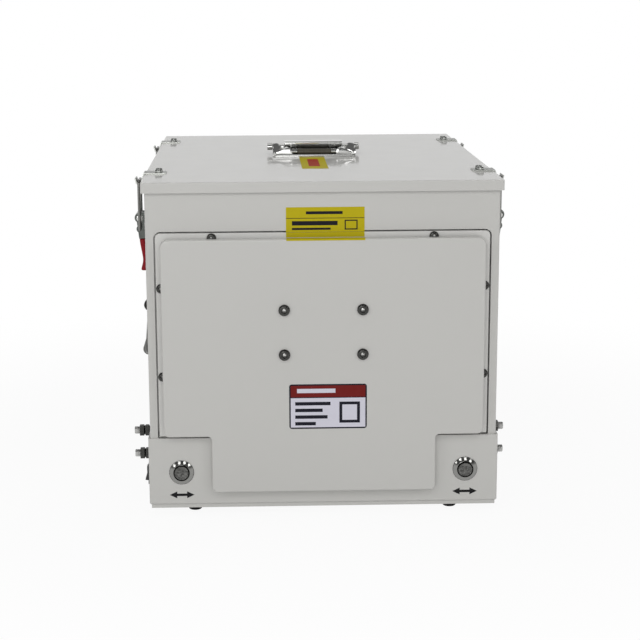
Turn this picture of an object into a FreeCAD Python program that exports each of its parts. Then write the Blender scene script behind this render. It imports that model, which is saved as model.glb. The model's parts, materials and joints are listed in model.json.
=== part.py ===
"""Bench-top shielded test box with an air-driven drawer, in millimetres.

X runs to the right, Y from the drawer front to the back, Z up. The origin lies under the middle of the
box, on the surface that the rubber feet stand on.
"""
import FreeCAD, Part
import math
import os

from FreeCAD import Vector

# Cabinet, base tray and lid
body_width = 356.0
body_depth = 484.0
sheet = 2.0
base_sheet = 2.0
lid_sheet = 1.5
seam_height = 71.0
lid_top_height = 334.5
wall_overlap = 12.0
corner_radius = 2.0
base_chamfer = 1.4
lid_overhang = 3.5
lid_skirt = 10.6
lid_edge_radius = 1.0
lid_gasket_width = 8.0
lid_gasket_thickness = 2.0
foot_height = 10.0
foot_top_radius = 8.5
foot_radius = 7.0
foot_plug_radius = 3.0
foot_side_inset = 46.0
foot_end_inset = 28.0
bottom_thickness = 4.0
bottom_inset = 2.0

# Chamber inside the cabinet
floor_drop = 2.0
floor_thickness = 3.0
flange_thickness = 3.0
flange_lip = 11.0
flange_radius = 6.0
seal_band = 18.3
absorber_thickness = 20.0
absorber_front_inset = 45.0
absorber_gap = 2.0

# Door plate and drawer cover
door_margin = 9.7
door_gap = 1.5
door_header = 47.8
door_radius = 5.0
door_foot_radius = 1.0
door_thickness = 10.0
door_edge_radius = 0.8
door_gasket_thickness = 3.0
door_gasket_inset = 1.0
cover_proud = 12.0
cover_rim = 8.5
cover_sheet = 2.0
cover_margin = 5.3
cover_radius = 8.0
cover_edge_radius = 1.5
wing_width = 48.4
wing_gap = 3.7
wing_radius = 4.0
tongue_lift = 15.6
tongue_radius = 5.5
standoff_radius = 7.0

# Screws: head radius, head height, shank radius and shank length
cover_screw = (5.85, 3.3, 3.0, 10.0)
door_screw = (4.8, 2.8, 2.5, 8.0)
keeper_screw = (3.8, 3.1, 1.8, 5.0)
cover_screw_spacing_x = 79.2
cover_screw_spacing_z = 46.0
cover_screw_rise = 112.0
door_screw_edge = 5.0
door_screw_spacing_x = 223.4
door_screw_spacing_z = 91.5
door_screw_rise = 110.5
fit_gap = 0.1

# Drawer tray and telescopic slides
rail_gap = 3.0
rail_sheet = 1.5
rail_slip = 0.3
rail_depth = 10.0
rail_height = 35.0
rail_lift = 13.0
rail_foot = 7.0
rail_front_inset = 20.0
rail_rear_inset = 104.0
tray_sheet = 1.5
tray_rail_gap = 2.0
tray_height = 40.0
tray_rise = 2.0
mat_thickness = 3.0

# Air cylinder in the base
travel_reserve = 184.0
rod_rise = 35.0
rod_radius = 6.0
rod_thread_radius = 5.0
rod_slip = 0.3
rod_hole_radius = 15.0
rod_boss_radius = 12.0
rod_boss_gap = 3.2
rod_end_gap = 0.6
rod_nut_flats = 17.0
rod_nut_height = 6.0
cylinder_front_inset = 80.0
barrel_radius = 20.0
bore_radius = 16.0
piston_length = 16.0
piston_end_gap = 2.0
cap_length = 22.0
cap_width = 46.0

# Push-buttons
button_edge = 33.7
button_rise = 34.7
bezel_radius = 12.75
bezel_height = 3.0
bezel_chamfer = 1.4
button_barrel_radius = 10.9
button_barrel_length = 24.0
button_nut_flats = 27.0
button_nut_height = 4.0
cap_radius = 8.2
cap_slip = 0.3
cap_proud = 0.8
cap_reach = 6.0
cap_travel = 2.5

# Coaxial connectors and rocker switch on the sides
coax_front_inset = 106.0
coax_upper_rise = 50.0
coax_lower_rise = 24.0
coax_thread_radius = 3.6
coax_inner_length = 10.0
coax_nut_flats = 11.0
coax_nut_height = 5.4
coax_nut_count = 2
coax_hex_flats = 11.0
coax_hex_height = 5.4
coax_tip_radius = 4.1
coax_tip_length = 5.5
coax_socket_radius = 1.6
switch_front_inset = 24.0
switch_rise = 27.0
switch_width = 15.0
switch_height = 21.0
switch_bezel = 2.0
switch_wall = 1.8
switch_depth = 14.0
rocker_slip = 0.3
rocker_depth = 6.0
rocker_proud = 3.4
rocker_tilt = 8.0
rocker_swing_room = 1.2

# Lid keepers and toggle latches
latch_inset = 80.0
keeper_width = 22.0
keeper_sheet = 1.3
keeper_length = 22.0
keeper_screw_inset = 14.0
keeper_screw_spacing = 13.0
keeper_shoulder = 0.7
hook_drop = 7.0
hook_inner = 2.0
hook_outer = 2.4
hook_lip = 5.0
hook_lean = 1.4
bail_standoff = 6.2
bail_radius = 1.5
bail_seat_gap = 0.3
bail_half_width = 14.5
bail_bend = 3.5
bail_grip_depth = 3.7
latch_drop = 45.5
latch_crank = 12.0
latch_plate_width = 24.0
latch_plate_height = 32.0
latch_plate_sheet = 1.5
latch_ear_sheet = 1.8
latch_ear_radius = 5.5
latch_pin_radius = 2.5
latch_nut_flats = 9.0
latch_nut_height = 2.2
lever_half_width = 7.2
lever_slip = 0.3
lever_hub_radius = 5.5
lever_crank_radius = 4.0
hinge_slip = 0.05
tail_half_width = 4.5
tail_sheet = 2.4
grip_half_width = 7.0
grip_top_drop = 22.0
grip_neck_drop = 46.0
grip_end_drop = 57.0
grip_top_lean = 1.9
grip_neck_lean = 4.7
grip_end_lean = 2.7
grip_top_thickness = 6.6
grip_neck_thickness = 4.6
grip_end_thickness = 6.4

# Folding handle on the lid
handle_setback = 3.0
handle_plate_width = 94.0
handle_plate_depth = 48.0
handle_plate_sheet = 1.5
handle_plate_radius = 4.0
handle_hinge_inset = 7.0
handle_hinge_rise = 8.2
handle_bar_width = 66.0
handle_bar_depth = 13.0
handle_bar_rise = 6.5
handle_bar_round = 2.0
handle_pin_radius = 2.5
handle_pin_head_radius = 4.0
handle_pin_head = 5.5
handle_arm_outer = 47.0
handle_arm_rear = 34.0
handle_arm_front = 25.0
handle_arm_flare = 14.0
handle_arm_height = 7.0
handle_reach = 34.0
handle_core_radius = 2.2
handle_grip_radius = 3.7
handle_rest_angle = 4.5

# Drop handles on the sides
side_handle_rise = 173.0
side_handle_standoff = 9.0
side_plate_width = 124.0
side_plate_height = 30.0
side_plate_sheet = 2.0
side_lug_radius = 7.0
side_lug_width = 6.0
side_pin_radius = 2.5
side_eye_radius = 5.0
side_eye_width = 7.0
side_eye_gap = 0.4
side_bail_radius = 3.0
side_bail_half_width = 46.0
side_bail_drop = 57.0
side_bail_bend = 9.0
side_grip_radius = 6.0
side_grip_half_width = 30.0
side_bail_tilt = 4.5

# Services at the back and in the base
inlet_x = 100.0
inlet_rise = 36.0
inlet_plate_width = 50.0
inlet_plate_height = 24.0
inlet_plate_sheet = 2.5
inlet_body_width = 27.0
inlet_body_height = 19.0
inlet_body_depth = 20.0
inlet_wall = 2.0
inlet_recess_depth = 15.0
inlet_blade_pitch = 7.0
inlet_blade = (4.0, 1.6, 11.0)
port_rise = 22.0
air_inlet_x = -100.0
silencer_x = -72.0
fitting_thread_radius = 5.0
fitting_inner_length = 12.0
fitting_flats = 14.0
fitting_hex_height = 6.0
fitting_collar_radius = 6.0
fitting_collar_length = 10.0
air_tube_radius = 3.0
air_tube_fit = 0.05
air_tube_socket = 14.0
silencer_radius = 6.0
silencer_length = 28.0
silencer_dome = 2.5
valve_width = 55.0
valve_length = 50.0
valve_height = 32.0
valve_coil_height = 22.0
valve_coil_inset = 8.0
valve_port_inset = 12.0
tube_lane = 18.0
tube_bend = 8.0
board_side_gap = 20.0
board_width = 90.0
board_length = 110.0
board_thickness = 1.6
board_standoff = 8.0
board_standoff_radius = 3.0
board_corner = 6.0
board_block = (14.0, 60.0, 11.0)

# Places worked out from the sizes above
front_proud = cover_proud + cover_screw[1]
rear_proud = base_sheet + silencer_length
half_width = body_width / 2
base_half = half_width + base_sheet
inner_half = half_width - sheet
front = -(body_depth + rear_proud - front_proud) / 2
back = front + body_depth
middle = (front + back) / 2
base_front = front - base_sheet
base_back = back + base_sheet
z_base = foot_height + bottom_thickness
z_seam = z_base + seam_height
z_lid = z_base + lid_top_height
z_lid_under = z_lid - lid_sheet
z_wall_top = z_lid_under - lid_gasket_thickness
z_wall_bottom = z_seam - wall_overlap
z_floor = z_seam - floor_drop
lid_half = half_width + lid_overhang

door_half = half_width - door_margin
z_door_bottom = z_seam + door_gap
z_door_top = z_wall_top - door_header
door_back = front + door_thickness
gasket_back = door_back + door_gasket_thickness
flange_front = gasket_back + rail_slip
flange_half = door_half - seal_band
z_mouth_bottom = z_floor + flange_lip
z_mouth_top = z_door_top - seal_band
cover_front = front - cover_proud
cover_half = door_half - cover_margin
z_cover_top = z_door_top - cover_margin
z_wing = z_seam + wing_gap
tongue_half = cover_half - wing_width
z_tongue = z_base + tongue_lift

rail_out = flange_half - rail_gap
rail_in = rail_out - rail_depth
rail_front = front + rail_front_inset
rail_back = back - rail_rear_inset
z_rail = z_floor + rail_lift
tray_half = rail_in - tray_rail_gap
z_tray = z_rail + tray_rise

drawer_travel = body_depth - travel_reserve
z_rod = z_base + rod_rise
barrel_front = front + cylinder_front_inset
barrel_back = barrel_front + drawer_travel + piston_length + 2 * piston_end_gap
piston_back = barrel_back - piston_end_gap
rod_nut_front = front - rod_boss_gap
rod_nut_back = rod_nut_front + rod_nut_height

button_x = base_half - button_edge
z_button = z_base + button_rise
coax_y = front + coax_front_inset
z_coax = (z_base + coax_upper_rise, z_base + coax_lower_rise)
x_coax_hex = base_half + coax_nut_count * coax_nut_height
switch_y = front + switch_front_inset
z_switch = z_base + switch_rise
z_port = z_base + port_rise

x_bail = lid_half + bail_standoff
z_hook_bar = z_lid - hook_drop
z_pivot = z_lid - latch_drop
z_crank = z_pivot - latch_crank
latch_rows = (front + latch_inset, back - latch_inset)

handle_y = middle + handle_setback
hinge_y = handle_y + handle_plate_depth / 2 - handle_hinge_inset
z_hinge = z_lid + handle_hinge_rise
grip_y = hinge_y - handle_reach
x_side_pivot = half_width + side_handle_standoff
z_side_pivot = z_base + side_handle_rise

OUT_FRONT = Vector(0, -1, 0)
OUT_TOP = Vector(0, 0, 1)


def block(x0, x1, y0, y1, z0, z1):
    """Box between two corners."""
    return Part.makeBox(x1 - x0, y1 - y0, z1 - z0, Vector(x0, y0, z0))


def rod(radius, start, end):
    """Round bar between two points."""
    return Part.makeCylinder(radius, (end - start).Length, start, end - start)


def bar_x(radius, x0, x1, y, z):
    """Round bar along X."""
    return rod(radius, Vector(x0, y, z), Vector(x1, y, z))


def bar_y(radius, y0, y1, x, z):
    """Round bar along Y."""
    return rod(radius, Vector(x, y0, z), Vector(x, y1, z))


def bar_z(radius, z0, z1, x, y):
    """Round bar along Z."""
    return rod(radius, Vector(x, y, z0), Vector(x, y, z1))


def hex_bar(flats, start, end):
    """Hexagonal bar between two points that lie along one axis."""
    along = end - start
    up = Vector(1, 0, 0) if abs(along.z) > 0 else Vector(0, 0, 1)
    side = along.cross(up).normalize()
    reach = flats / math.sqrt(3)
    corners = []
    for step in range(7):
        turn = math.radians(60 * step)
        corners.append(start + up * (reach * math.cos(turn)) + side * (reach * math.sin(turn)))
    return Part.Face(Part.makePolygon(corners)).extrude(along)


def corner_bend(before, corner, after, radius):
    """Tangent points and middle of the arc that rounds one corner."""
    to_before = (before - corner).normalize()
    to_after = (after - corner).normalize()
    half = to_before.getAngle(to_after) / 2
    reach = radius / math.tan(half)
    bisector = (to_before + to_after).normalize()
    centre = corner + bisector * (radius / math.sin(half))
    return corner + to_before * reach, centre - bisector * radius, corner + to_after * reach


def rounded_face(corners):
    """Flat face through (point, radius) corners, each rounded by its radius."""
    stops = []
    count = len(corners)
    for index, (point, radius) in enumerate(corners):
        if radius > 0:
            stops.append(corner_bend(corners[index - 1][0], point, corners[(index + 1) % count][0], radius))
        else:
            stops.append((point, None, point))
    edges = []
    for index, (start, crown, end) in enumerate(stops):
        if crown is not None:
            edges.append(Part.Arc(start, crown, end).toShape())
        edges.append(Part.LineSegment(end, stops[(index + 1) % count][0]).toShape())
    return Part.Face(Part.Wire(edges))


def front_plate(x0, x1, z0, z1, y0, y1, radius):
    """Upright plate across X with rounded corners, from y0 to y1."""
    corners = [(Vector(x, y0, z), radius) for x, z in ((x0, z0), (x1, z0), (x1, z1), (x0, z1))]
    return rounded_face(corners).extrude(Vector(0, y1 - y0, 0))


def door_plan(gap, y0, y1):
    """Outline of the door grown by a gap, from y0 to y1; its lower corners are nearly square."""
    half = door_half + gap
    z0 = z_door_bottom - gap
    z1 = z_door_top + gap
    corners = [(-half, z0, door_foot_radius), (half, z0, door_foot_radius)]
    corners += [(half, z1, door_radius + gap), (-half, z1, door_radius + gap)]
    outline = [(Vector(x, y0, z), radius) for x, z, radius in corners]
    return rounded_face(outline).extrude(Vector(0, y1 - y0, 0))


def flat_plate(x0, x1, y0, y1, z0, z1, radius):
    """Level plate with rounded corners, from z0 to z1."""
    corners = [(Vector(x, y, z0), radius) for x, y in ((x0, y0), (x1, y0), (x1, y1), (x0, y1))]
    return rounded_face(corners).extrude(Vector(0, 0, z1 - z0))


def bent_rod(points, radius, bend):
    """Round wire along points, with the same bend at every corner."""
    edges = []
    start = points[0]
    for index in range(1, len(points) - 1):
        enter, crown, leave = corner_bend(points[index - 1], points[index], points[index + 1], bend)
        edges.append(Part.LineSegment(start, enter).toShape())
        edges.append(Part.Arc(enter, crown, leave).toShape())
        start = leave
    edges.append(Part.LineSegment(start, points[-1]).toShape())
    profile = Part.Wire(Part.makeCircle(radius, points[0], points[1] - points[0]))
    return Part.Wire(edges).makePipeShell([profile], True, False)


def strip(points, thicknesses, y0, y1):
    """Bent strip whose middle line runs through (x, z) points, with a thickness at each point."""
    left = []
    right = []
    last = len(points) - 1
    for index, (x, z) in enumerate(points):
        before = points[max(index - 1, 0)]
        after = points[min(index + 1, last)]
        run_in = Vector(x - before[0], 0, z - before[1])
        run_out = Vector(after[0] - x, 0, after[1] - z)
        normal_in = Vector(-run_in.z, 0, run_in.x)
        normal_out = Vector(-run_out.z, 0, run_out.x)
        first = (normal_in if index > 0 else normal_out).normalize()
        second = (normal_out if index < last else normal_in).normalize()
        mitre = (first + second).normalize()
        reach = thicknesses[index] / 2 / mitre.dot(first)
        left.append(Vector(x, y0, z) + mitre * reach)
        right.append(Vector(x, y0, z) - mitre * reach)
    outline = left + right[::-1] + left[:1]
    return Part.Face(Part.makePolygon(outline)).extrude(Vector(0, y1 - y0, 0))


def pan_screw(sizes, seat, out):
    """Pan-head screw with a hexagon socket, its head standing on the seat and facing out."""
    head_radius, head_height, shank_radius, shank_length = sizes
    rim_height = 0.55 * head_height
    head = rod(head_radius, seat, seat + out * rim_height)
    crown_height = head_height - rim_height
    crown = Part.makeCone(head_radius, 0.72 * head_radius, crown_height, seat + out * rim_height, out)
    shank = rod(shank_radius, seat - out * shank_length, seat)
    socket = hex_bar(0.8 * head_radius, seat + out * (0.4 * head_height), seat + out * (2 * head_height))
    return head.fuse([crown, shank]).removeSplitter().cut(socket)


def mirrored(shape):
    """The same shape on the other side of the middle plane."""
    return shape.mirror(Vector(0, 0, 0), Vector(1, 0, 0))


def pair(shape):
    """A right-hand shape and its left-hand twin."""
    return [shape, mirrored(shape)]


def group(shapes):
    """Several solids kept as one node."""
    return Part.makeCompound(shapes)


def cover_screw_places():
    """Seats of the four screws in the drawer cover."""
    z_middle = z_seam + cover_screw_rise
    return [
        Vector(side * cover_screw_spacing_x / 2, cover_front, z_middle + row * cover_screw_spacing_z / 2)
        for side in (-1, 1)
        for row in (-1, 1)
    ]


def door_screw_places():
    """Seats of the screws around the edge of the door plate."""
    z_middle = z_seam + door_screw_rise
    places = []
    for side in (-1, 1):
        places.append(Vector(side * door_screw_spacing_x / 2, front, z_door_top - door_screw_edge))
        for row in (-1, 1):
            x = side * (door_half - door_screw_edge)
            places.append(Vector(x, front, z_middle + row * door_screw_spacing_z / 2))
    return places


def keeper_screw_places():
    """Seats of the right-hand keeper screws, on top of the straps."""
    x = lid_half - keeper_screw_inset
    return [
        Vector(x, row + side * keeper_screw_spacing / 2, z_lid + keeper_sheet)
        for row in latch_rows
        for side in (-1, 1)
    ]


def foot_places():
    """Centres of the rubber feet."""
    x = base_half - foot_side_inset
    return [(side * x, y) for side in (-1, 1) for y in (front + foot_end_inset, back - foot_end_inset)]


def make_base_shell():
    """Folded base tray: a rectangular ring of sheet with all its cut-outs."""
    outer = flat_plate(-base_half, base_half, base_front, base_back, z_base, z_seam, corner_radius)
    foot_edges = [edge for edge in outer.Edges if edge.BoundBox.ZMax < z_base + base_chamfer]
    outer = outer.makeChamfer(base_chamfer, foot_edges)
    shell = outer.cut(block(-half_width, half_width, front, back, z_base, z_seam))
    holes = [bar_y(rod_hole_radius, base_front, front, 0, z_rod)]
    for side in (-1, 1):
        holes.append(bar_y(button_barrel_radius + fit_gap, base_front, front, side * button_x, z_button))
        x0, x1 = sorted((side * half_width, side * base_half))
        holes += [bar_x(coax_thread_radius + fit_gap, x0, x1, coax_y, z) for z in z_coax]
    holes.append(switch_body(fit_gap))
    for x in (air_inlet_x, silencer_x):
        holes.append(bar_y(fitting_thread_radius + fit_gap, back, base_back, x, z_port))
    holes.append(inlet_body(fit_gap))
    return shell.cut(holes)


def make_bottom_plate():
    """Closing plate under the tray, with holes for the plugs of the feet."""
    half = base_half - bottom_inset
    plate = block(-half, half, base_front + bottom_inset, base_back - bottom_inset, foot_height, z_base)
    holes = [bar_z(foot_plug_radius + fit_gap, foot_height, z_base, x, y) for x, y in foot_places()]
    return plate.cut(holes)


def make_rubber_feet():
    """Tapered rubber feet, each with a plug in the bottom plate."""
    feet = []
    for x, y in foot_places():
        cone = Part.makeCone(foot_radius, foot_top_radius, foot_height, Vector(x, y, 0), OUT_TOP)
        feet.append(cone.fuse(bar_z(foot_plug_radius, foot_height, z_base, x, y)))
    return group(feet)


def make_right_side_panel():
    """Right wall of the cabinet, standing inside the tray."""
    return block(inner_half, half_width, front + sheet, back - sheet, z_wall_bottom, z_wall_top)


def make_left_side_panel():
    """Left wall of the cabinet."""
    return mirrored(make_right_side_panel())


def make_back_panel():
    """Back wall of the cabinet."""
    return block(-half_width, half_width, back - sheet, back, z_wall_bottom, z_wall_top)


def make_front_frame():
    """Front of the cabinet with the rounded door opening."""
    corners = []
    for x, y, radius in (
        (-half_width, front, corner_radius - fit_gap),
        (half_width, front, corner_radius - fit_gap),
        (half_width, front + sheet, 0),
        (-half_width, front + sheet, 0),
    ):
        corners.append((Vector(x, y, z_wall_bottom), radius))
    frame = rounded_face(corners).extrude(Vector(0, 0, z_wall_top - z_wall_bottom))
    return frame.cut(door_plan(door_gap, front, front + sheet))


def make_chamber_floor():
    """Floor between the chamber and the base."""
    return block(-inner_half, inner_half, front + sheet, back - sheet, z_floor - floor_thickness, z_floor)


def make_seal_flange():
    """Inner frame that the door gasket closes on."""
    back_face = flange_front + flange_thickness
    plate = block(-inner_half, inner_half, flange_front, back_face, z_floor, z_wall_top)
    mouth = front_plate(
        -flange_half, flange_half, z_mouth_bottom, z_mouth_top, flange_front, back_face, flange_radius
    )
    return plate.cut(mouth)


def make_absorber_panels():
    """Foam panels on the side walls, the back wall and the lid."""
    y0 = front + absorber_front_inset
    y1 = back - sheet - absorber_thickness
    z1 = z_wall_top - absorber_gap
    side_in = inner_half - absorber_thickness
    right = block(side_in, inner_half, y0, y1, z_floor, z1)
    rear = block(-inner_half, inner_half, y1, back - sheet, z_floor, z1)
    top_half = side_in - absorber_gap
    top = block(-top_half, top_half, y0, y1 - absorber_gap, z_lid_under - absorber_thickness, z_lid_under)
    return group(pair(right) + [rear, top])


def make_lid_panel():
    """Folded lid cap with its skirt, and holes for the keeper screws."""
    y0 = front - lid_overhang
    y1 = back + lid_overhang
    z_skirt = z_lid - lid_skirt
    cap = flat_plate(-lid_half, lid_half, y0, y1, z_skirt, z_lid, corner_radius)
    rim = [edge for edge in cap.Edges if edge.BoundBox.ZMin > z_lid_under]
    cap = cap.makeFillet(lid_edge_radius, rim)
    inner = lid_half - lid_sheet
    cap = cap.cut(block(-inner, inner, y0 + lid_sheet, y1 - lid_sheet, z_skirt, z_lid_under))
    holes = []
    for seat in keeper_screw_places():
        holes += pair(bar_z(keeper_screw[2] + fit_gap, z_lid_under, z_lid, seat.x, seat.y))
    return cap.cut(holes)


def make_lid_gasket():
    """Flat gasket between the cabinet walls and the lid."""
    inner = half_width - lid_gasket_width
    ring = block(-half_width, half_width, front, back, z_wall_top, z_lid_under)
    y0 = front + lid_gasket_width
    y1 = back - lid_gasket_width
    return ring.cut(block(-inner, inner, y0, y1, z_wall_top, z_lid_under))


def make_lid_keepers():
    """Bent straps on the lid, each ending in an upturned hook for a wire bail."""
    z_strap = z_lid + keeper_sheet / 2
    z_trough = z_hook_bar - bail_radius - bail_seat_gap - keeper_sheet / 2
    path = [
        (lid_half - keeper_length, z_strap),
        (lid_half + keeper_shoulder, z_strap),
        (x_bail - hook_inner, z_trough),
        (x_bail + hook_outer, z_trough),
        (x_bail + hook_outer + hook_lean, z_trough + hook_lip),
    ]
    keepers = []
    for row in latch_rows:
        strap = strip(path, [keeper_sheet] * len(path), row - keeper_width / 2, row + keeper_width / 2)
        holes = [
            bar_z(keeper_screw[2] + fit_gap, z_lid, seat.z, seat.x, seat.y) for seat in keeper_screw_places()
        ]
        keepers += pair(strap.cut(holes))
    return group(keepers)


def make_keeper_screws():
    """Screws that hold the keepers on the lid."""
    screws = []
    for seat in keeper_screw_places():
        screws += pair(pan_screw(keeper_screw, seat, OUT_TOP))
    return group(screws)


def make_latch_bases():
    """Latch plates on the side walls, with ears and riveted pivot pins."""
    ear_in = lever_half_width + lever_slip
    ear_out = ear_in + latch_ear_sheet
    x0 = half_width + latch_plate_sheet
    bases = []
    for row in latch_rows:
        y0 = row - latch_plate_width / 2
        y1 = row + latch_plate_width / 2
        z0 = z_pivot - latch_plate_height / 2
        z1 = z_pivot + latch_plate_height / 2
        pieces = [bar_y(latch_pin_radius, row - ear_out, row + ear_out, x_bail, z_pivot)]
        for side in (-1, 1):
            e0, e1 = sorted((row + side * ear_in, row + side * ear_out))
            pieces.append(block(x0, x_bail, e0, e1, z_pivot - latch_ear_radius, z_pivot + latch_ear_radius))
            pieces.append(bar_y(latch_ear_radius, e0, e1, x_bail, z_pivot))
            nut_start = Vector(x_bail, row + side * ear_out, z_pivot)
            nut_end = nut_start + Vector(0, side * latch_nut_height, 0)
            pieces.append(hex_bar(latch_nut_flats, nut_start, nut_end))
        plate = block(half_width, x0, y0, y1, z0, z1)
        bases += pair(plate.fuse(pieces).removeSplitter())
    return group(bases)


def lever_tail(row):
    """Flat tail of a lever, which the grip is pushed onto."""
    path = [
        (x_bail - grip_top_lean, z_pivot - grip_top_drop),
        (x_bail - grip_neck_lean, z_pivot - grip_neck_drop),
    ]
    return strip(path, [tail_sheet, tail_sheet], row - tail_half_width, row + tail_half_width)


def latch_lever(row):
    """Right-hand lever: hub on the pivot pin, crank eye for the bail, arm and tail."""
    y0 = row - lever_half_width
    y1 = row + lever_half_width
    path = [(x_bail, z_pivot), (x_bail - grip_top_lean, z_pivot - grip_top_drop)]
    arm = strip(path, [2 * lever_crank_radius, grip_top_thickness], y0, y1)
    hub = bar_y(lever_hub_radius, y0, y1, x_bail, z_pivot)
    eye = bar_y(lever_crank_radius, y0, y1, x_bail, z_crank)
    lever = hub.fuse([arm, eye, lever_tail(row)]).removeSplitter()
    return lever.cut(
        [
            bar_y(latch_pin_radius + hinge_slip, y0, y1, x_bail, z_pivot),
            bar_y(bail_radius + hinge_slip, y0, y1, x_bail, z_crank),
        ]
    )


def latch_grip(row):
    """Right-hand vinyl grip: waisted sleeve with a flared end."""
    path = [
        (x_bail - grip_top_lean, z_pivot - grip_top_drop),
        (x_bail - grip_neck_lean, z_pivot - grip_neck_drop),
        (x_bail - grip_end_lean, z_pivot - grip_end_drop),
    ]
    widths = [grip_top_thickness, grip_neck_thickness, grip_end_thickness]
    sleeve = strip(path, widths, row - grip_half_width, row + grip_half_width)
    return sleeve.cut(latch_lever(row))


def latch_bail(row):
    """Right-hand wire bail, from the lever's crank eye up to the hook and back."""
    inner = lever_half_width - bail_grip_depth
    points = [
        Vector(x_bail, row - inner, z_crank),
        Vector(x_bail, row - bail_half_width, z_crank),
        Vector(x_bail, row - bail_half_width, z_hook_bar),
        Vector(x_bail, row + bail_half_width, z_hook_bar),
        Vector(x_bail, row + bail_half_width, z_crank),
        Vector(x_bail, row + inner, z_crank),
    ]
    return bent_rod(points, bail_radius, bail_bend)


def make_top_handle_plate():
    """Plate on the lid with the flat-topped hinge bar and its pin."""
    half = handle_plate_width / 2
    y0 = handle_y - handle_plate_depth / 2
    y1 = handle_y + handle_plate_depth / 2
    plate = flat_plate(-half, half, y0, y1, z_lid, z_lid + handle_plate_sheet, handle_plate_radius)
    bar_half = handle_bar_width / 2
    bar_front = hinge_y - handle_bar_depth / 2
    bar_back = hinge_y + handle_bar_depth / 2
    z_bar = z_hinge + handle_bar_rise
    corners = [
        (Vector(-bar_half, bar_front, z_lid), 0),
        (Vector(-bar_half, bar_back, z_lid), 0),
        (Vector(-bar_half, bar_back, z_bar), handle_bar_round),
        (Vector(-bar_half, bar_front, z_bar), handle_bar_round),
    ]
    pin_half = handle_arm_outer + lever_slip
    pieces = [
        rounded_face(corners).extrude(Vector(handle_bar_width, 0, 0)),
        bar_x(handle_pin_radius, -pin_half, pin_half, hinge_y, z_hinge),
    ]
    head = bar_x(handle_pin_head_radius, pin_half, pin_half + handle_pin_head, hinge_y, z_hinge)
    return plate.fuse(pieces + pair(head)).removeSplitter()


def folded(shape):
    """Lean a level handle shape about the hinge, down to where it rests."""
    return shape.rotated(Vector(0, hinge_y, z_hinge), Vector(1, 0, 0), handle_rest_angle)


def level_handle_bail():
    """Level bail: two flared arms on the pin, joined by the core of the grip."""
    y_flare = hinge_y - handle_arm_flare
    y_tip = grip_y - handle_core_radius - lever_slip
    y_heel = hinge_y + handle_arm_height / 2
    z_low = z_hinge - handle_arm_height / 2
    z_high = z_hinge + handle_arm_height / 2
    corners = [
        (Vector(handle_arm_outer, y_heel, z_low), 0),
        (Vector(handle_arm_rear, y_heel, z_low), 0),
        (Vector(handle_arm_rear, y_flare, z_low), 0),
        (Vector(handle_arm_front, y_tip, z_low), 0),
        (Vector(handle_arm_outer, y_tip, z_low), handle_core_radius),
    ]
    plan = rounded_face(corners).extrude(Vector(0, 0, z_high - z_low))
    x0 = handle_arm_front
    side = bar_x(handle_arm_height / 2, x0, handle_arm_outer, hinge_y, z_hinge)
    side = side.fuse(block(x0, handle_arm_outer, grip_y, hinge_y, z_low, z_high))
    side = side.fuse(bar_x(handle_arm_height / 2, x0, handle_arm_outer, grip_y, z_hinge))
    arm = plan.common(side.removeSplitter())
    arm = arm.cut(bar_x(handle_pin_radius + hinge_slip, 0, handle_arm_outer, hinge_y, z_hinge))
    core = bar_x(handle_core_radius, -handle_arm_rear, handle_arm_rear, grip_y, z_hinge)
    return core.fuse(pair(arm)).removeSplitter()


def make_top_handle_bail():
    """Bail of the handle, folded onto the lid."""
    return folded(level_handle_bail())


def make_top_handle_grip():
    """Sleeve on the core of the bail, between the flared arms."""
    sleeve = bar_x(handle_grip_radius, -handle_arm_front, handle_arm_front, grip_y, z_hinge)
    return folded(sleeve.cut(level_handle_bail()))


def make_side_handle_plates():
    """Plates on the side walls with lugs and stub pins for the drop handles."""
    x0 = half_width + side_plate_sheet
    half = side_plate_width / 2
    z0 = z_side_pivot - side_plate_height / 2
    z1 = z_side_pivot + side_plate_height / 2
    plate = block(half_width, x0, middle - half, middle + half, z0, z1)
    lug_in = side_bail_half_width + side_eye_width / 2 + side_eye_gap
    lug_out = lug_in + side_lug_width
    pin_in = side_bail_half_width - side_eye_width / 2
    pieces = []
    for side in (-1, 1):
        y0, y1 = sorted((middle + side * lug_in, middle + side * lug_out))
        z_low = z_side_pivot - side_lug_radius
        z_high = z_side_pivot + side_lug_radius
        pieces.append(block(half_width, x_side_pivot, y0, y1, z_low, z_high))
        pieces.append(bar_y(side_lug_radius, y0, y1, x_side_pivot, z_side_pivot))
        p0, p1 = sorted((middle + side * pin_in, middle + side * lug_out))
        pieces.append(bar_y(side_pin_radius, p0, p1, x_side_pivot, z_side_pivot))
    return group(pair(plate.fuse(pieces).removeSplitter()))


def make_right_handle_bail():
    """Right-hand drop handle, leaning out on its stops."""
    pieces = []
    eyes = []
    z_grip = z_side_pivot - side_bail_drop
    z_eye = z_side_pivot - (side_pin_radius + side_eye_radius) / 2
    for side in (-1, 1):
        y = middle + side * side_bail_half_width
        y0 = y - side_eye_width / 2
        y1 = y + side_eye_width / 2
        pieces.append(bar_y(side_eye_radius, y0, y1, x_side_pivot, z_side_pivot))
        eyes.append(bar_y(side_pin_radius + hinge_slip, y0, y1, x_side_pivot, z_side_pivot))
    points = [
        Vector(x_side_pivot, middle - side_bail_half_width, z_eye),
        Vector(x_side_pivot, middle - side_bail_half_width, z_grip),
        Vector(x_side_pivot, middle + side_bail_half_width, z_grip),
        Vector(x_side_pivot, middle + side_bail_half_width, z_eye),
    ]
    pieces.append(bent_rod(points, side_bail_radius, side_bail_bend))
    grip = bar_y(
        side_grip_radius, middle - side_grip_half_width, middle + side_grip_half_width, x_side_pivot, z_grip
    )
    bail = grip.fuse(pieces).removeSplitter().cut(eyes)
    bail.rotate(Vector(x_side_pivot, middle, z_side_pivot), OUT_FRONT, side_bail_tilt)
    return bail


def make_left_handle_bail():
    """Left-hand drop handle."""
    return mirrored(make_right_handle_bail())


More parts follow.
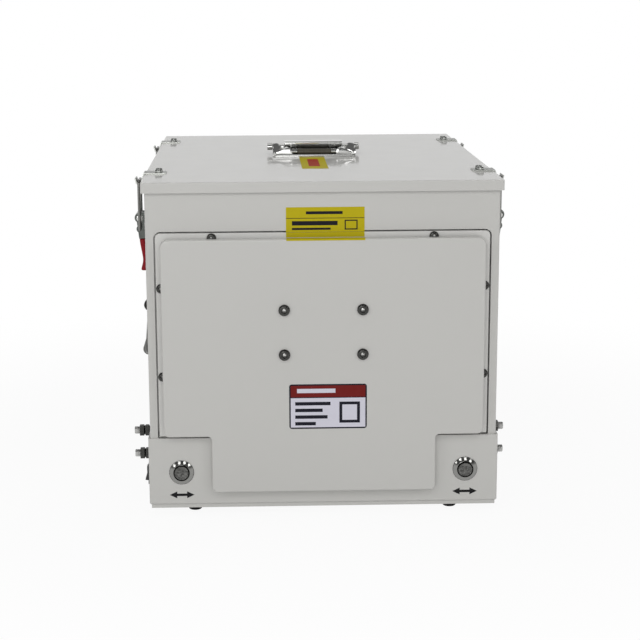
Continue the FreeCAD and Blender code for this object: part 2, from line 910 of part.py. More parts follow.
def button_cap(x):
    """Sliding cap of a push-button, with a chamfered face."""
    face = base_front - bezel_height - cap_proud
    body = bar_y(cap_radius, face + cap_proud, face + cap_reach, x, z_button)
    start = Vector(x, face + cap_proud, z_button)
    return body.fuse(Part.makeCone(cap_radius, cap_radius - cap_proud, cap_proud, start, OUT_FRONT))


def make_left_button_cap():
    """Cap of the left push-button."""
    return button_cap(-button_x)


def make_right_button_cap():
    """Cap of the right push-button."""
    return button_cap(button_x)


def make_button_housings():
    """Push-button housings: chamfered bezel in front of the panel and threaded barrel behind it."""
    bezel_face = base_front - bezel_height
    bore_end = bezel_face - cap_proud + cap_reach + cap_travel + cap_slip
    housings = []
    for x in (-button_x, button_x):
        rim = bar_y(bezel_radius, bezel_face + bezel_chamfer, base_front, x, z_button)
        start = Vector(x, bezel_face + bezel_chamfer, z_button)
        taper = Part.makeCone(bezel_radius, bezel_radius - bezel_chamfer, bezel_chamfer, start, OUT_FRONT)
        barrel = bar_y(button_barrel_radius, base_front, base_front + button_barrel_length, x, z_button)
        bore = bar_y(cap_radius + cap_slip, bezel_face, bore_end, x, z_button)
        housings.append(rim.fuse([taper, barrel]).removeSplitter().cut(bore))
    return group(housings)


def make_panel_nuts():
    """Hexagon nuts of the push-buttons and of the coaxial connectors."""
    nuts = []
    for x in (-button_x, button_x):
        start = Vector(x, front, z_button)
        end = start + Vector(0, button_nut_height, 0)
        hole = bar_y(button_barrel_radius + fit_gap, start.y, end.y, x, z_button)
        nuts.append(hex_bar(button_nut_flats, start, end).cut(hole))
    for z in z_coax:
        for number in range(coax_nut_count):
            start = Vector(base_half + number * coax_nut_height, coax_y, z)
            end = start + Vector(coax_nut_height, 0, 0)
            hole = bar_x(coax_thread_radius + fit_gap, start.x, end.x, coax_y, z)
            nuts += pair(hex_bar(coax_nut_flats, start, end).cut(hole))
    return group(nuts)


def make_coax_connectors():
    """Coaxial bulkhead connectors through the side walls of the base."""
    connectors = []
    for z in z_coax:
        hex_start = Vector(x_coax_hex, coax_y, z)
        hex_end = hex_start + Vector(coax_hex_height, 0, 0)
        tip_end = hex_end.x + coax_tip_length
        flange_start = Vector(half_width - coax_nut_height, coax_y, z)
        pieces = [
            bar_x(coax_thread_radius, half_width - coax_inner_length, hex_start.x, coax_y, z),
            hex_bar(coax_hex_flats, hex_start, hex_end),
            hex_bar(coax_hex_flats, flange_start, Vector(half_width, coax_y, z)),
        ]
        tip = bar_x(coax_tip_radius, hex_end.x, tip_end, coax_y, z)
        connector = tip.fuse(pieces).removeSplitter()
        socket = bar_x(coax_socket_radius, hex_end.x, tip_end, coax_y, z)
        connectors += pair(connector.cut(socket))
    return group(connectors)


def switch_block(x0, x1, half_y, half_z):
    """Box from x0 to x1 around the middle of the rocker switch."""
    y0 = switch_y - half_y
    y1 = switch_y + half_y
    return block(x0, x1, y0, y1, z_switch - half_z, z_switch + half_z)


def switch_body(gap):
    """Body of the rocker switch inside the left wall, grown by a gap."""
    half_y = switch_width / 2 - switch_wall / 2 + gap
    half_z = switch_height / 2 - switch_wall / 2 + gap
    return switch_block(-base_half, -base_half + switch_depth, half_y, half_z)


def make_switch_housing():
    """Rocker switch housing: bezel outside the wall, open well for the rocker."""
    half_y = switch_width / 2
    half_z = switch_height / 2
    face = -base_half - switch_bezel
    bezel = switch_block(face, -base_half, half_y, half_z)
    well_floor = -base_half + rocker_depth + rocker_swing_room
    well = switch_block(face, well_floor, half_y - 1.5 * switch_wall, half_z - switch_wall)
    return bezel.fuse(switch_body(0)).removeSplitter().cut(well)


def make_power_rocker():
    """Rocker of the power switch, with two flat faces that meet in a shallow valley."""
    half_y = switch_width / 2 - 1.5 * switch_wall - rocker_slip
    half_z = switch_height / 2 - switch_wall - rocker_swing_room
    x_pivot = -base_half
    x_rim = x_pivot - rocker_proud - half_z * math.tan(math.radians(rocker_tilt))
    outline = [
        Vector(x_pivot - rocker_proud, switch_y - half_y, z_switch),
        Vector(x_rim, switch_y - half_y, z_switch + half_z),
        Vector(x_pivot, switch_y - half_y, z_switch + half_z),
        Vector(x_pivot + rocker_depth, switch_y - half_y, z_switch),
        Vector(x_pivot, switch_y - half_y, z_switch - half_z),
        Vector(x_rim, switch_y - half_y, z_switch - half_z),
        Vector(x_pivot - rocker_proud, switch_y - half_y, z_switch),
    ]
    rocker = Part.Face(Part.makePolygon(outline)).extrude(Vector(0, 2 * half_y, 0))
    rocker.rotate(Vector(x_pivot, switch_y, z_switch), Vector(0, 1, 0), rocker_tilt)
    return rocker


def inlet_block(half_x, half_z, y0, y1):
    """Box from y0 to y1 around the middle of the power inlet."""
    z = z_base + inlet_rise
    return block(inlet_x - half_x, inlet_x + half_x, y0, y1, z - half_z, z + half_z)


def inlet_body(gap):
    """Body of the power inlet inside the back of the tray, grown by a gap."""
    half_x = inlet_body_width / 2 + gap
    half_z = inlet_body_height / 2 + gap
    return inlet_block(half_x, half_z, base_back - inlet_body_depth, base_back)


def make_power_inlet():
    """Power inlet: plate on the back of the tray and a socket with three blades."""
    z = z_base + inlet_rise
    half_x = inlet_plate_width / 2
    half_z = inlet_plate_height / 2
    face = base_back + inlet_plate_sheet
    x0 = inlet_x - half_x
    x1 = inlet_x + half_x
    plate = front_plate(x0, x1, z - half_z, z + half_z, base_back, face, corner_radius)
    well_x = inlet_body_width / 2 - inlet_wall
    well_z = inlet_body_height / 2 - inlet_wall
    well_floor = face - inlet_recess_depth
    well = inlet_block(well_x, well_z, well_floor, face)
    inlet = plate.fuse(inlet_body(0)).removeSplitter().cut(well)
    tall, thin, length = inlet_blade
    blades = []
    for step in (-1, 0, 1):
        blade = inlet_block(thin / 2, tall / 2, well_floor, well_floor + length)
        blades.append(blade.translated(Vector(step * inlet_blade_pitch, 0, 0)))
    return inlet.fuse(blades).removeSplitter()


def fitting_stem(x):
    """Thread and hexagon of a fitting in the back of the tray."""
    thread = bar_y(fitting_thread_radius, back - fitting_inner_length, base_back, x, z_port)
    start = Vector(x, base_back, z_port)
    return thread.fuse(hex_bar(fitting_flats, start, start + Vector(0, fitting_hex_height, 0)))


def make_air_inlet_fitting():
    """Push-in fitting for the air supply tube."""
    collar_start = base_back + fitting_hex_height
    collar_end = collar_start + fitting_collar_length
    collar = bar_y(fitting_collar_radius, collar_start, collar_end, air_inlet_x, z_port)
    socket_start = collar_end - air_tube_socket
    socket = bar_y(air_tube_radius + air_tube_fit, socket_start, collar_end, air_inlet_x, z_port)
    return fitting_stem(air_inlet_x).fuse(collar).removeSplitter().cut(socket)


def make_exhaust_silencer():
    """Porous silencer on the exhaust of the valve."""
    start = base_back + fitting_hex_height
    end = base_back + silencer_length
    body = bar_y(silencer_radius, start, end - silencer_dome, silencer_x, z_port)
    dome_start = Vector(silencer_x, end - silencer_dome, z_port)
    tip_radius = silencer_radius - silencer_dome
    dome = Part.makeCone(silencer_radius, tip_radius, silencer_dome, dome_start, Vector(0, 1, 0))
    return fitting_stem(silencer_x).fuse([body, dome]).removeSplitter()


def valve_box():
    """Left, right, front and back of the valve block."""
    x_middle = (air_inlet_x + silencer_x) / 2
    return (
        x_middle - valve_width / 2,
        x_middle + valve_width / 2,
        middle - valve_length / 2,
        middle + valve_length / 2,
    )


def make_solenoid_valve():
    """Valve block on the bottom plate with its coil on top."""
    x0, x1, y0, y1 = valve_box()
    z_top = z_base + valve_height
    body = block(x0, x1, y0, y1, z_base, z_top)
    inset = valve_coil_inset
    coil = block(x0 + inset, x1 - inset, y0 + inset, y1 - inset, z_top, z_top + valve_coil_height)
    return body.fuse(coil).removeSplitter()


def make_air_tubes():
    """Tubes from the supply and the silencer to the valve, and from the valve to both cylinder ends."""
    _, x1, y0, y1 = valve_box()
    fitting_end = back - fitting_inner_length
    tubes = [bar_y(air_tube_radius, y1, fitting_end, x, z_port) for x in (air_inlet_x, silencer_x)]
    x_cap = -cap_width / 2
    lane = x_cap - tube_lane
    ports = (
        (y0 + valve_port_inset, barrel_front - cap_length / 2),
        (y1 - valve_port_inset, barrel_back + cap_length / 2),
    )
    for y_valve, y_cap in ports:
        points = [
            Vector(x1, y_valve, z_port),
            Vector(lane, y_valve, z_port),
            Vector(lane, y_cap, z_port),
            Vector(x_cap, y_cap, z_port),
        ]
        tubes.append(bent_rod(points, air_tube_radius, tube_bend))
    return group(tubes)


def make_control_board():
    """Control board on four standoffs, with a row of terminal blocks."""
    x1 = base_half - board_side_gap
    x0 = x1 - board_width
    y0 = middle - board_length / 2
    y1 = y0 + board_length
    z0 = z_base + board_standoff
    z1 = z0 + board_thickness
    board = block(x0, x1, y0, y1, z0, z1)
    pieces = []
    for x in (x0 + board_corner, x1 - board_corner):
        for y in (y0 + board_corner, y1 - board_corner):
            pieces.append(bar_z(board_standoff_radius, z_base, z0, x, y))
    wide, long, tall = board_block
    x_block = (x0 + x1 - wide) / 2
    y_block = middle - long / 2
    pieces.append(block(x_block, x_block + wide, y_block, y_block + long, z1, z1 + tall))
    return board.fuse(pieces).removeSplitter()


def make_cylinder_barrel():
    """Tube of the air cylinder."""
    tube = bar_y(barrel_radius, barrel_front, barrel_back, 0, z_rod)
    return tube.cut(bar_y(bore_radius, barrel_front, barrel_back, 0, z_rod))


def make_cylinder_caps():
    """End caps of the cylinder, standing on the bottom plate."""
    half = cap_width / 2
    z_top = z_rod + half
    front_cap = block(-half, half, barrel_front - cap_length, barrel_front, z_base, z_top)
    hole = bar_y(rod_radius + rod_slip, barrel_front - cap_length, barrel_front, 0, z_rod)
    rear_cap = block(-half, half, barrel_back, barrel_back + cap_length, z_base, z_top)
    return group([front_cap.cut(hole), rear_cap])


def make_piston_rod():
    """Piston at the back end of the closed barrel, and its rod with a thinner threaded end."""
    piston_front = piston_back - piston_length
    piston = bar_y(bore_radius - rod_slip, piston_front, piston_back, 0, z_rod)
    shaft = bar_y(rod_radius, rod_nut_back, piston_front, 0, z_rod)
    thread_start = cover_front + cover_sheet + rod_end_gap
    thread = bar_y(rod_thread_radius, thread_start, rod_nut_back, 0, z_rod)
    return group([piston, shaft.fuse(thread).removeSplitter()])


def make_rod_nut():
    """Jam nut that locks the rod in the boss of the cover."""
    start = Vector(0, rod_nut_front, z_rod)
    end = Vector(0, rod_nut_back, z_rod)
    hole = bar_y(rod_thread_radius + fit_gap, start.y, end.y, 0, z_rod)
    return hex_bar(rod_nut_flats, start, end).cut(hole)


def cover_face(y, inset):
    """T-shaped outline of the drawer cover, drawn in by an inset."""
    wide = cover_half - inset
    narrow = tongue_half - inset
    z_top = z_cover_top - inset
    z_wings = z_wing + inset
    z_low = z_tongue + inset
    outer = cover_radius - inset
    hollow = wing_radius + inset
    lower = tongue_radius - inset
    corners = [
        (-wide, z_top, outer),
        (wide, z_top, outer),
        (wide, z_wings, lower),
        (narrow, z_wings, hollow),
        (narrow, z_low, lower),
        (-narrow, z_low, lower),
        (-narrow, z_wings, hollow),
        (-wide, z_wings, lower),
    ]
    return rounded_face([(Vector(x, y, z), radius) for x, z, radius in corners])


def make_drawer_cover():
    """T-shaped pan over the door plate; its tongue carries the boss of the piston rod."""
    pan = cover_face(cover_front, 0).extrude(Vector(0, cover_rim, 0))
    rim = [edge for edge in pan.Edges if edge.BoundBox.YMax < cover_front + cover_sheet / 2]
    pan = pan.makeFillet(cover_edge_radius, rim)
    skin_back = cover_front + cover_sheet
    pan = pan.cut(cover_face(skin_back, cover_sheet).extrude(Vector(0, cover_rim, 0)))
    pan = pan.fuse(bar_y(rod_boss_radius, skin_back, rod_nut_front, 0, z_rod)).removeSplitter()
    holes = [bar_y(rod_thread_radius + fit_gap, skin_back, rod_nut_front, 0, z_rod)]
    for seat in cover_screw_places():
        holes.append(bar_y(cover_screw[2] + fit_gap, cover_front, skin_back, seat.x, seat.z))
    return pan.cut(holes)


def make_cover_screws():
    """Screws in the middle of the drawer cover."""
    return group([pan_screw(cover_screw, seat, OUT_FRONT) for seat in cover_screw_places()])


def make_door_plate():
    """Door plate in the cabinet opening, with standoffs for the cover."""
    plate = door_plan(0, front, door_back)
    rim = [edge for edge in plate.Edges if edge.BoundBox.YMax < front + door_edge_radius]
    plate = plate.makeFillet(door_edge_radius, rim)
    skin_back = cover_front + cover_sheet
    standoffs = [bar_y(standoff_radius, skin_back, front, seat.x, seat.z) for seat in cover_screw_places()]
    holes = []
    for seat in cover_screw_places():
        hole_end = cover_front + cover_screw[3] + fit_gap
        holes.append(bar_y(cover_screw[2] + fit_gap, skin_back, hole_end, seat.x, seat.z))
    for seat in door_screw_places():
        hole_end = front + door_screw[3] + fit_gap
        holes.append(bar_y(door_screw[2] + fit_gap, front, hole_end, seat.x, seat.z))
    return plate.fuse(standoffs).removeSplitter().cut(holes)


def make_door_screws():
    """Screws around the edge of the door plate."""
    return group([pan_screw(door_screw, seat, OUT_FRONT) for seat in door_screw_places()])


def make_door_gasket():
    """Gasket ring on the back of the door plate."""
    inset = door_gasket_inset
    half = door_half - inset
    z0 = z_door_bottom + inset
    z1 = z_door_top - inset
    ring = front_plate(-half, half, z0, z1, door_back, gasket_back, door_radius - inset)
    mouth_half = flange_half + inset
    z0 = z_mouth_bottom - inset
    z1 = z_mouth_top + inset
    mouth_radius = flange_radius + inset
    return ring.cut(front_plate(-mouth_half, mouth_half, z0, z1, door_back, gasket_back, mouth_radius))


def make_drawer_tray():
    """Open tray behind the door plate."""
    z_top = z_tray + tray_height
    tray = block(-tray_half, tray_half, door_back, rail_back, z_tray, z_top)
    inner = tray_half - tray_sheet
    hollow = block(-inner, inner, door_back + tray_sheet, rail_back - tray_sheet, z_tray + tray_sheet, z_top)
    return tray.cut(hollow)


def make_tray_mat():
    """Insulating mat on the floor of the tray."""
    inner = tray_half - tray_sheet - fit_gap
    y0 = door_back + tray_sheet + fit_gap
    y1 = rail_back - tray_sheet - fit_gap
    z0 = z_tray + tray_sheet
    return block(-inner, inner, y0, y1, z0, z0 + mat_thickness)


def channel(x0, x1, z0, z1, web_outside):
    """Slide channel between x0 and x1, with its web on one side and open on the other."""
    body = block(x0, x1, rail_front, rail_back, z0, z1)
    if web_outside:
        hollow = block(x0, x1 - rail_sheet, rail_front, rail_back, z0 + rail_sheet, z1 - rail_sheet)
    else:
        hollow = block(x0 + rail_sheet, x1, rail_front, rail_back, z0 + rail_sheet, z1 - rail_sheet)
    return body.cut(hollow)


def make_slide_outer_rails():
    """Fixed slide channels, each on a footed web that stands on the chamber floor."""
    rail = channel(rail_in, rail_out, z_rail, z_rail + rail_height, True)
    web = block(rail_out - rail_sheet, rail_out, rail_front, rail_back, z_floor, z_rail)
    foot = block(rail_out, rail_out + rail_foot, rail_front, rail_back, z_floor, z_floor + rail_sheet)
    return group(pair(rail.fuse([web, foot]).removeSplitter()))


def make_slide_middle_rails():
    """Middle slide channels, nested in the fixed ones."""
    step = rail_sheet + rail_slip
    return group(pair(channel(rail_in, rail_out - step, z_rail + step, z_rail + rail_height - step, True)))


def make_slide_inner_rails():
    """Inner slide channels on the sides of the tray."""
    step = 2 * (rail_sheet + rail_slip)
    return group(pair(channel(tray_half, rail_out - step, z_rail + step, z_rail + rail_height - step, False)))


def latch_nodes():
    """Lever, grip and bail of each of the four latches."""
    nodes = {}
    for end, row in zip(("front", "rear"), latch_rows):
        for piece, maker in (("lever", latch_lever), ("grip", latch_grip), ("bail", latch_bail)):
            right = maker(row)
            nodes[f"{end}_right_latch_{piece}"] = right
            nodes[f"{end}_left_latch_{piece}"] = mirrored(right)
    return nodes


def all_nodes():
    """Every sub-part of the box by name."""
    makers = {
        "base_shell": make_base_shell,
        "bottom_plate": make_bottom_plate,
        "rubber_feet": make_rubber_feet,
        "left_side_panel": make_left_side_panel,
        "right_side_panel": make_right_side_panel,
        "back_panel": make_back_panel,
        "front_frame": make_front_frame,
        "chamber_floor": make_chamber_floor,
        "seal_flange": make_seal_flange,
        "absorber_panels": make_absorber_panels,
        "lid_panel": make_lid_panel,
        "lid_gasket": make_lid_gasket,
        "lid_keepers": make_lid_keepers,
        "keeper_screws": make_keeper_screws,
        "latch_bases": make_latch_bases,
        "top_handle_plate": make_top_handle_plate,
        "top_handle_bail": make_top_handle_bail,
        "top_handle_grip": make_top_handle_grip,
        "side_handle_plates": make_side_handle_plates,
        "left_handle_bail": make_left_handle_bail,
        "right_handle_bail": make_right_handle_bail,
        "button_housings": make_button_housings,
        "left_button_cap": make_left_button_cap,
        "right_button_cap": make_right_button_cap,
        "panel_nuts": make_panel_nuts,
        "coax_connectors": make_coax_connectors,
        "switch_housing": make_switch_housing,
        "power_rocker": make_power_rocker,
        "power_inlet": make_power_inlet,
        "air_inlet_fitting": make_air_inlet_fitting,
        "exhaust_silencer": make_exhaust_silencer,
        "solenoid_valve": make_solenoid_valve,
        "air_tubes": make_air_tubes,
        "control_board": make_control_board,
        "cylinder_barrel": make_cylinder_barrel,
        "cylinder_caps": make_cylinder_caps,
        "piston_rod": make_piston_rod,
        "rod_nut": make_rod_nut,
        "drawer_cover": make_drawer_cover,
        "cover_screws": make_cover_screws,
        "door_plate": make_door_plate,
        "door_screws": make_door_screws,
        "door_gasket": make_door_gasket,
        "drawer_tray": make_drawer_tray,
        "tray_mat": make_tray_mat,
        "slide_outer_rails": make_slide_outer_rails,
        "slide_middle_rails": make_slide_middle_rails,
        "slide_inner_rails": make_slide_inner_rails,
    }
    nodes = {name: maker() for name, maker in makers.items()}
    nodes.update(latch_nodes())
    return nodes


def main():
    """Write one STEP file for each sub-part."""
    os.makedirs("parts", exist_ok=True)
    for name, shape in all_nodes().items():
        shape.exportStep(f"parts/{name}.step")


main()
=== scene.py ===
"""Looks of a bench-top shielded test box: finishes, fine pieces, studio light and camera.

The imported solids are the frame. Fine pieces are modelled in the same place, ride on the same bodies and
stand for the solids that they cover. Lengths are in metres; X runs right, Y to the back, Z up.
"""

import json
import logging
import math
from dataclasses import dataclass, replace
from enum import Enum
from typing import Callable, Iterable, Sequence

import bmesh
import bpy
from mathutils import Matrix, Vector


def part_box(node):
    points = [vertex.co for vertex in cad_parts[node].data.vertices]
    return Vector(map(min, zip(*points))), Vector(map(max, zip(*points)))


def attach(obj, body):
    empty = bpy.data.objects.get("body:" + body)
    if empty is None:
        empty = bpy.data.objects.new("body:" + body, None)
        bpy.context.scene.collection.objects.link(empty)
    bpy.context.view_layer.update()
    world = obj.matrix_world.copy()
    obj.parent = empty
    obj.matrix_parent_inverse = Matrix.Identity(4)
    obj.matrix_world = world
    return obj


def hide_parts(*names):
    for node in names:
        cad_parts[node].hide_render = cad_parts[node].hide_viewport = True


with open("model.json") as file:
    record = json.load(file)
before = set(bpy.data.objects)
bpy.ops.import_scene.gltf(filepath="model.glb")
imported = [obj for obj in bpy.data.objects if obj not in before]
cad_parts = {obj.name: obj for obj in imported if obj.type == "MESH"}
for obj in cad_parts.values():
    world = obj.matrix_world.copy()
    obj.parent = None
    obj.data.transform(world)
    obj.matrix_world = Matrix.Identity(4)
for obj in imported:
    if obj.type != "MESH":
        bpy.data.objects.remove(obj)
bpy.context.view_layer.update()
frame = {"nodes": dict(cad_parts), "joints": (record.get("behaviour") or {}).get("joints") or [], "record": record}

MM = 0.001
IMAGE_SIDE = 640
WELD = 0.002 * MM
FILM = 0.12 * MM
EDGE_MARK = "edge"
SHOWING_RAYS = ("Camera", "Glossy", "Transmission")
SIDES = {"left": -1, "right": 1}
ENDS = {"front": -1, "rear": 1}
CROSS_ARM = 0.26
NUT_CHAMFER = math.radians(30)
FLAT_ANGLE = math.radians(0.3)
SMOOTH_ANGLE = math.radians(38.0)
LOG = logging.getLogger("test_box")

Triple = tuple[float, float, float]
Place = tuple[float, float]
Loop = list[Vector]
Points = list[Place]
Profile = Callable[[float], Points]


class Value:
    """A node socket that Python arithmetic extends with Math nodes."""

    def __init__(self, graph: "Graph", socket: bpy.types.NodeSocket | None) -> None:
        """Wrap one output of a graph's node."""
        self.graph = graph
        self.socket = socket

    def math(self, operation: str, first: "Operand", second: "Operand") -> "Value":
        """Join two operands in one Math node."""
        return self.graph.add("ShaderNodeMath", {"operation": operation}, {0: first, 1: second})

    def __add__(self, other: "Operand") -> "Value":
        """This value plus another."""
        return self.math("ADD", self, other)

    def __radd__(self, other: "Operand") -> "Value":
        """A number plus this value."""
        return self.math("ADD", other, self)

    def __sub__(self, other: "Operand") -> "Value":
        """This value minus another."""
        return self.math("SUBTRACT", self, other)

    def __rsub__(self, other: "Operand") -> "Value":
        """A number minus this value."""
        return self.math("SUBTRACT", other, self)

    def __mul__(self, other: "Operand") -> "Value":
        """This value times another."""
        return self.math("MULTIPLY", self, other)

    def __rmul__(self, other: "Operand") -> "Value":
        """A number times this value."""
        return self.math("MULTIPLY", other, self)

    def __truediv__(self, other: "Operand") -> "Value":
        """This value divided by another."""
        return self.math("DIVIDE", self, other)

    def __rtruediv__(self, other: "Operand") -> "Value":
        """A number divided by this value."""
        return self.math("DIVIDE", other, self)

    def __mod__(self, other: "Operand") -> "Value":
        """Remainder of this value."""
        return self.math("FLOORED_MODULO", self, other)

    def __rmod__(self, other: "Operand") -> "Value":
        """Remainder of a number."""
        return self.math("FLOORED_MODULO", other, self)

    def floor(self) -> "Value":
        """Whole part of this value."""
        return self.math("FLOOR", self, 0.0)

    def wave(self) -> "Value":
        """Cosine of this value."""
        return self.math("COSINE", self, 0.0)

    def least(self, other: "Operand") -> "Value":
        """The lesser of this value and another."""
        return self.math("MINIMUM", self, other)

    def within(self, low: float, high: float) -> "Value":
        """1 between two levels and 0 outside them."""
        return self.math("GREATER_THAN", self, low) * self.math("LESS_THAN", self, high)

    def smooth(self, low: float, high: float) -> "Value":
        """Smooth rise from 0 to 1 between two levels."""
        levels = {"Value": self, "From Min": low, "From Max": high}
        return self.graph.add("ShaderNodeMapRange", {"interpolation_type": "SMOOTHSTEP"}, levels)


Operand = Value | float


class Graph:
    """A node tree in the making, of a material, the world or geometry."""

    def __init__(self, tree: bpy.types.NodeTree) -> None:
        """Start from an empty tree."""
        tree.nodes.clear()
        self.tree = tree

    def add(
        self, kind: str, settings: dict | None = None, sockets: dict | None = None, out: int | str = 0
    ) -> Value:
        """Add one node.

        Args:
            kind: Type of the node.
            settings: Properties of the node, which are set first.
            sockets: Values or links of its inputs, by name or index.
            out: Output that the result stands for.

        Returns:
            The chosen output, or an empty value for a node without outputs.
        """
        node = self.tree.nodes.new(kind)
        for key, setting in (settings or {}).items():
            setattr(node, key, setting)
        for key, value in (sockets or {}).items():
            self.feed(node.inputs[key], value)
        return Value(self, node.outputs[out] if node.outputs else None)

    def feed(self, socket: bpy.types.NodeSocket, value: object) -> None:
        """Link a value to a socket, or set the socket's own number, colour or vector.

        Args:
            socket: Input of a node.
            value: Value, number, colour, vector or object for it.
        """
        if isinstance(value, Value):
            self.tree.links.new(value.socket, socket)
        elif socket.type == "RGBA" and len(value) == 3:
            socket.default_value = (*value, 1.0)
        else:
            socket.default_value = value

    def coords(self, scale: Triple = (1, 1, 1), shift: Triple = (0, 0, 0)) -> Value:
        """Object coordinates, scaled and then shifted."""
        source = self.add("ShaderNodeTexCoord", out="Object")
        return self.add("ShaderNodeMapping", {}, {"Vector": source, "Scale": scale, "Location": shift})

    def axis(self, vector: Value, name: str) -> Value:
        """One component of a vector."""
        return self.add("ShaderNodeSeparateXYZ", {}, {"Vector": vector}, out=name)

    def noise(self, scale: float, detail: float = 2.0, vector: Value | None = None) -> Value:
        """Cloudy noise with a number of features per metre."""
        place = vector or self.coords()
        return self.add("ShaderNodeTexNoise", {}, {"Vector": place, "Scale": scale, "Detail": detail})

    def cells(self, scale: float, out: str = "Distance") -> Value:
        """Cell pattern with a number of cells per metre."""
        return self.add("ShaderNodeTexVoronoi", {}, {"Vector": self.coords(), "Scale": scale}, out=out)

    def blend(self, first: Value | Triple, second: Value | Triple, factor: Value) -> Value:
        """Mix of two colours."""
        settings = {"data_type": "RGBA"}
        return self.add("ShaderNodeMix", settings, {0: factor, 6: first, 7: second}, out=2)

    def bump(self, height: Value, depth: float) -> Value:
        """Normal of a surface that rises by a depth where the height is 1."""
        return self.add("ShaderNodeBump", {}, {"Height": height, "Distance": depth})

    def edge(self) -> Value:
        """1 on the rounded edges of a piece and 0 elsewhere."""
        return self.add("ShaderNodeAttribute", {"attribute_name": EDGE_MARK}, out="Fac")

    def seen(self) -> Value:
        """1 for rays that show the surroundings, 0 for rays that light the object."""
        camera, glossy, through = (self.add("ShaderNodeLightPath", out=f"Is {kind} Ray") for kind in SHOWING_RAYS)
        return (camera + glossy + through).least(1.0)


def shade(colour: Triple, level: float) -> Triple:
    """A colour made darker or lighter by a factor."""
    return (colour[0] * level, colour[1] * level, colour[2] * level)


@dataclass(frozen=True)
class Finish:
    """A surface finish with its main colour."""

    name: str
    colour: Triple

    def surface(self, graph: Graph) -> dict[str, object]:
        """Inputs of the shader by name; each kind of finish has its own."""
        raise NotImplementedError

    def tones(self, graph: Graph, low: float, high: float, factor: Value) -> Value:
        """Blend between two shades of the main colour."""
        return graph.blend(shade(self.colour, low), shade(self.colour, high), factor)

    def material(self) -> bpy.types.Material:
        """The material of this finish, made on first use.

        Returns:
            Material whose shader follows this finish.
        """
        title = f"{self.name}_finish"
        found = bpy.data.materials.get(title)
        if found is None:
            found = bpy.data.materials.new(title)
            found.use_nodes = True
            graph = Graph(found.node_tree)
            shader = graph.add("ShaderNodeBsdfPrincipled", {}, self.surface(graph))
            graph.add("ShaderNodeOutputMaterial", {}, {"Surface": shader})
        return found


@dataclass(frozen=True)
class Enamel(Finish):
    """Glossy powder coat with a faint orange peel and rounded edges painted paler, a painted highlight."""

    roughness: float = 0.35
    peel_scale: float = 430.0
    peel_depth: float = 0.012 * MM
    coat: float = 0.5
    coat_roughness: float = 0.07

    def surface(self, graph: Graph) -> dict[str, object]:
        """Slow drift of tone, fine specks, a painted highlight on the rounded edges and a gloss that varies a little.

        Args:
            graph: Node tree of the material.

        Returns:
            Inputs of the shader by name.
        """
        tone = 0.75 * graph.noise(5.0) + 0.25 * graph.noise(1400.0)
        # Rounded edges are painted paler: a painted highlight along them.
        colour = graph.blend(self.tones(graph, 0.965, 1.025, tone), shade(self.colour, 1.06), 0.6 * graph.edge())
        return {
            "Base Color": colour,
            "Roughness": self.roughness + 0.1 * (graph.noise(34.0, 4.0) - 0.5),
            "Coat Weight": self.coat,
            "Coat Roughness": self.coat_roughness,
            "Normal": graph.bump(graph.noise(self.peel_scale, 1.0), self.peel_depth),
        }


class Grain(Enum):
    """Direction of the marks on a metal, as the stretch of their noise along X, Y and Z."""

    NONE = (900.0, 900.0, 900.0)
    ALONG_X = (35.0, 2600.0, 2600.0)
    ALONG_Y = (2600.0, 35.0, 2600.0)
    ALONG_Z = (2600.0, 2600.0, 35.0)


@dataclass(frozen=True)
class Metal(Finish):
    """Bare or plated metal with fine marks, cloudy gloss and brighter edges, partly wear and partly a painted
    highlight.
    """

    roughness: float = 0.3
    grain: Grain = Grain.NONE
    contrast: float = 0.12
    mark_depth: float = 0.003 * MM
    spangle: float = 0.0
    wear_and_glint: float = 1.4
    cloud_scale: float = 26.0
    spangle_scale: float = 330.0

    def marks(self, graph: Graph) -> Value:
        """Fine marks from working the metal."""
        return graph.noise(1.0, 2.0, graph.coords(self.grain.value))

    def surface(self, graph: Graph) -> dict[str, object]:
        """Marks, clouds, plating spangle and brighter edges, partly wear and partly a painted highlight.

        Args:
            graph: Node tree of the material.

        Returns:
            Inputs of the shader by name.
        """
        marks = self.marks(graph)
        tone = 0.55 * marks + 0.45 * graph.noise(self.cloud_scale, 4.0)
        if self.spangle:
            flakes = graph.axis(graph.cells(self.spangle_scale, "Color"), "X")
            tone = tone * (1 - self.spangle) + self.spangle * flakes
        colour = self.tones(graph, 1 - self.contrast, 1 + self.contrast, tone)
        # Brighter rounded edges: partly wear, partly a painted highlight along them.
        wear_and_glint = graph.edge() * graph.noise(240.0, 3.0).smooth(0.35, 0.6)
        return {
            "Base Color": graph.blend(colour, shade(self.colour, self.wear_and_glint), 0.6 * wear_and_glint),
            "Metallic": 1.0,
            "Roughness": self.roughness * (0.7 + 0.6 * tone) - 0.05 * wear_and_glint,
            "Normal": graph.bump(marks, self.mark_depth),
        }


@dataclass(frozen=True)
class TurnedMetal(Metal):
    """Metal faced on a lathe, with rings about an axis along Y."""

    centre: Place = (0.0, 0.0)
    ring_scale: float = 5200.0

    def marks(self, graph: Graph) -> Value:
        """Fine rings about the centre.

        Args:
            graph: Node tree of the material.

        Returns:
            Height of the marks.
        """
        across = graph.coords((1, 0, 1), (-self.centre[0], 0, -self.centre[1]))
        radius = graph.add("ShaderNodeVectorMath", {"operation": "LENGTH"}, {0: across}, out="Value")
        settings = {"noise_dimensions": "1D"}
        return graph.add("ShaderNodeTexNoise", settings, {"W": radius, "Scale": self.ring_scale, "Detail": 1.0})


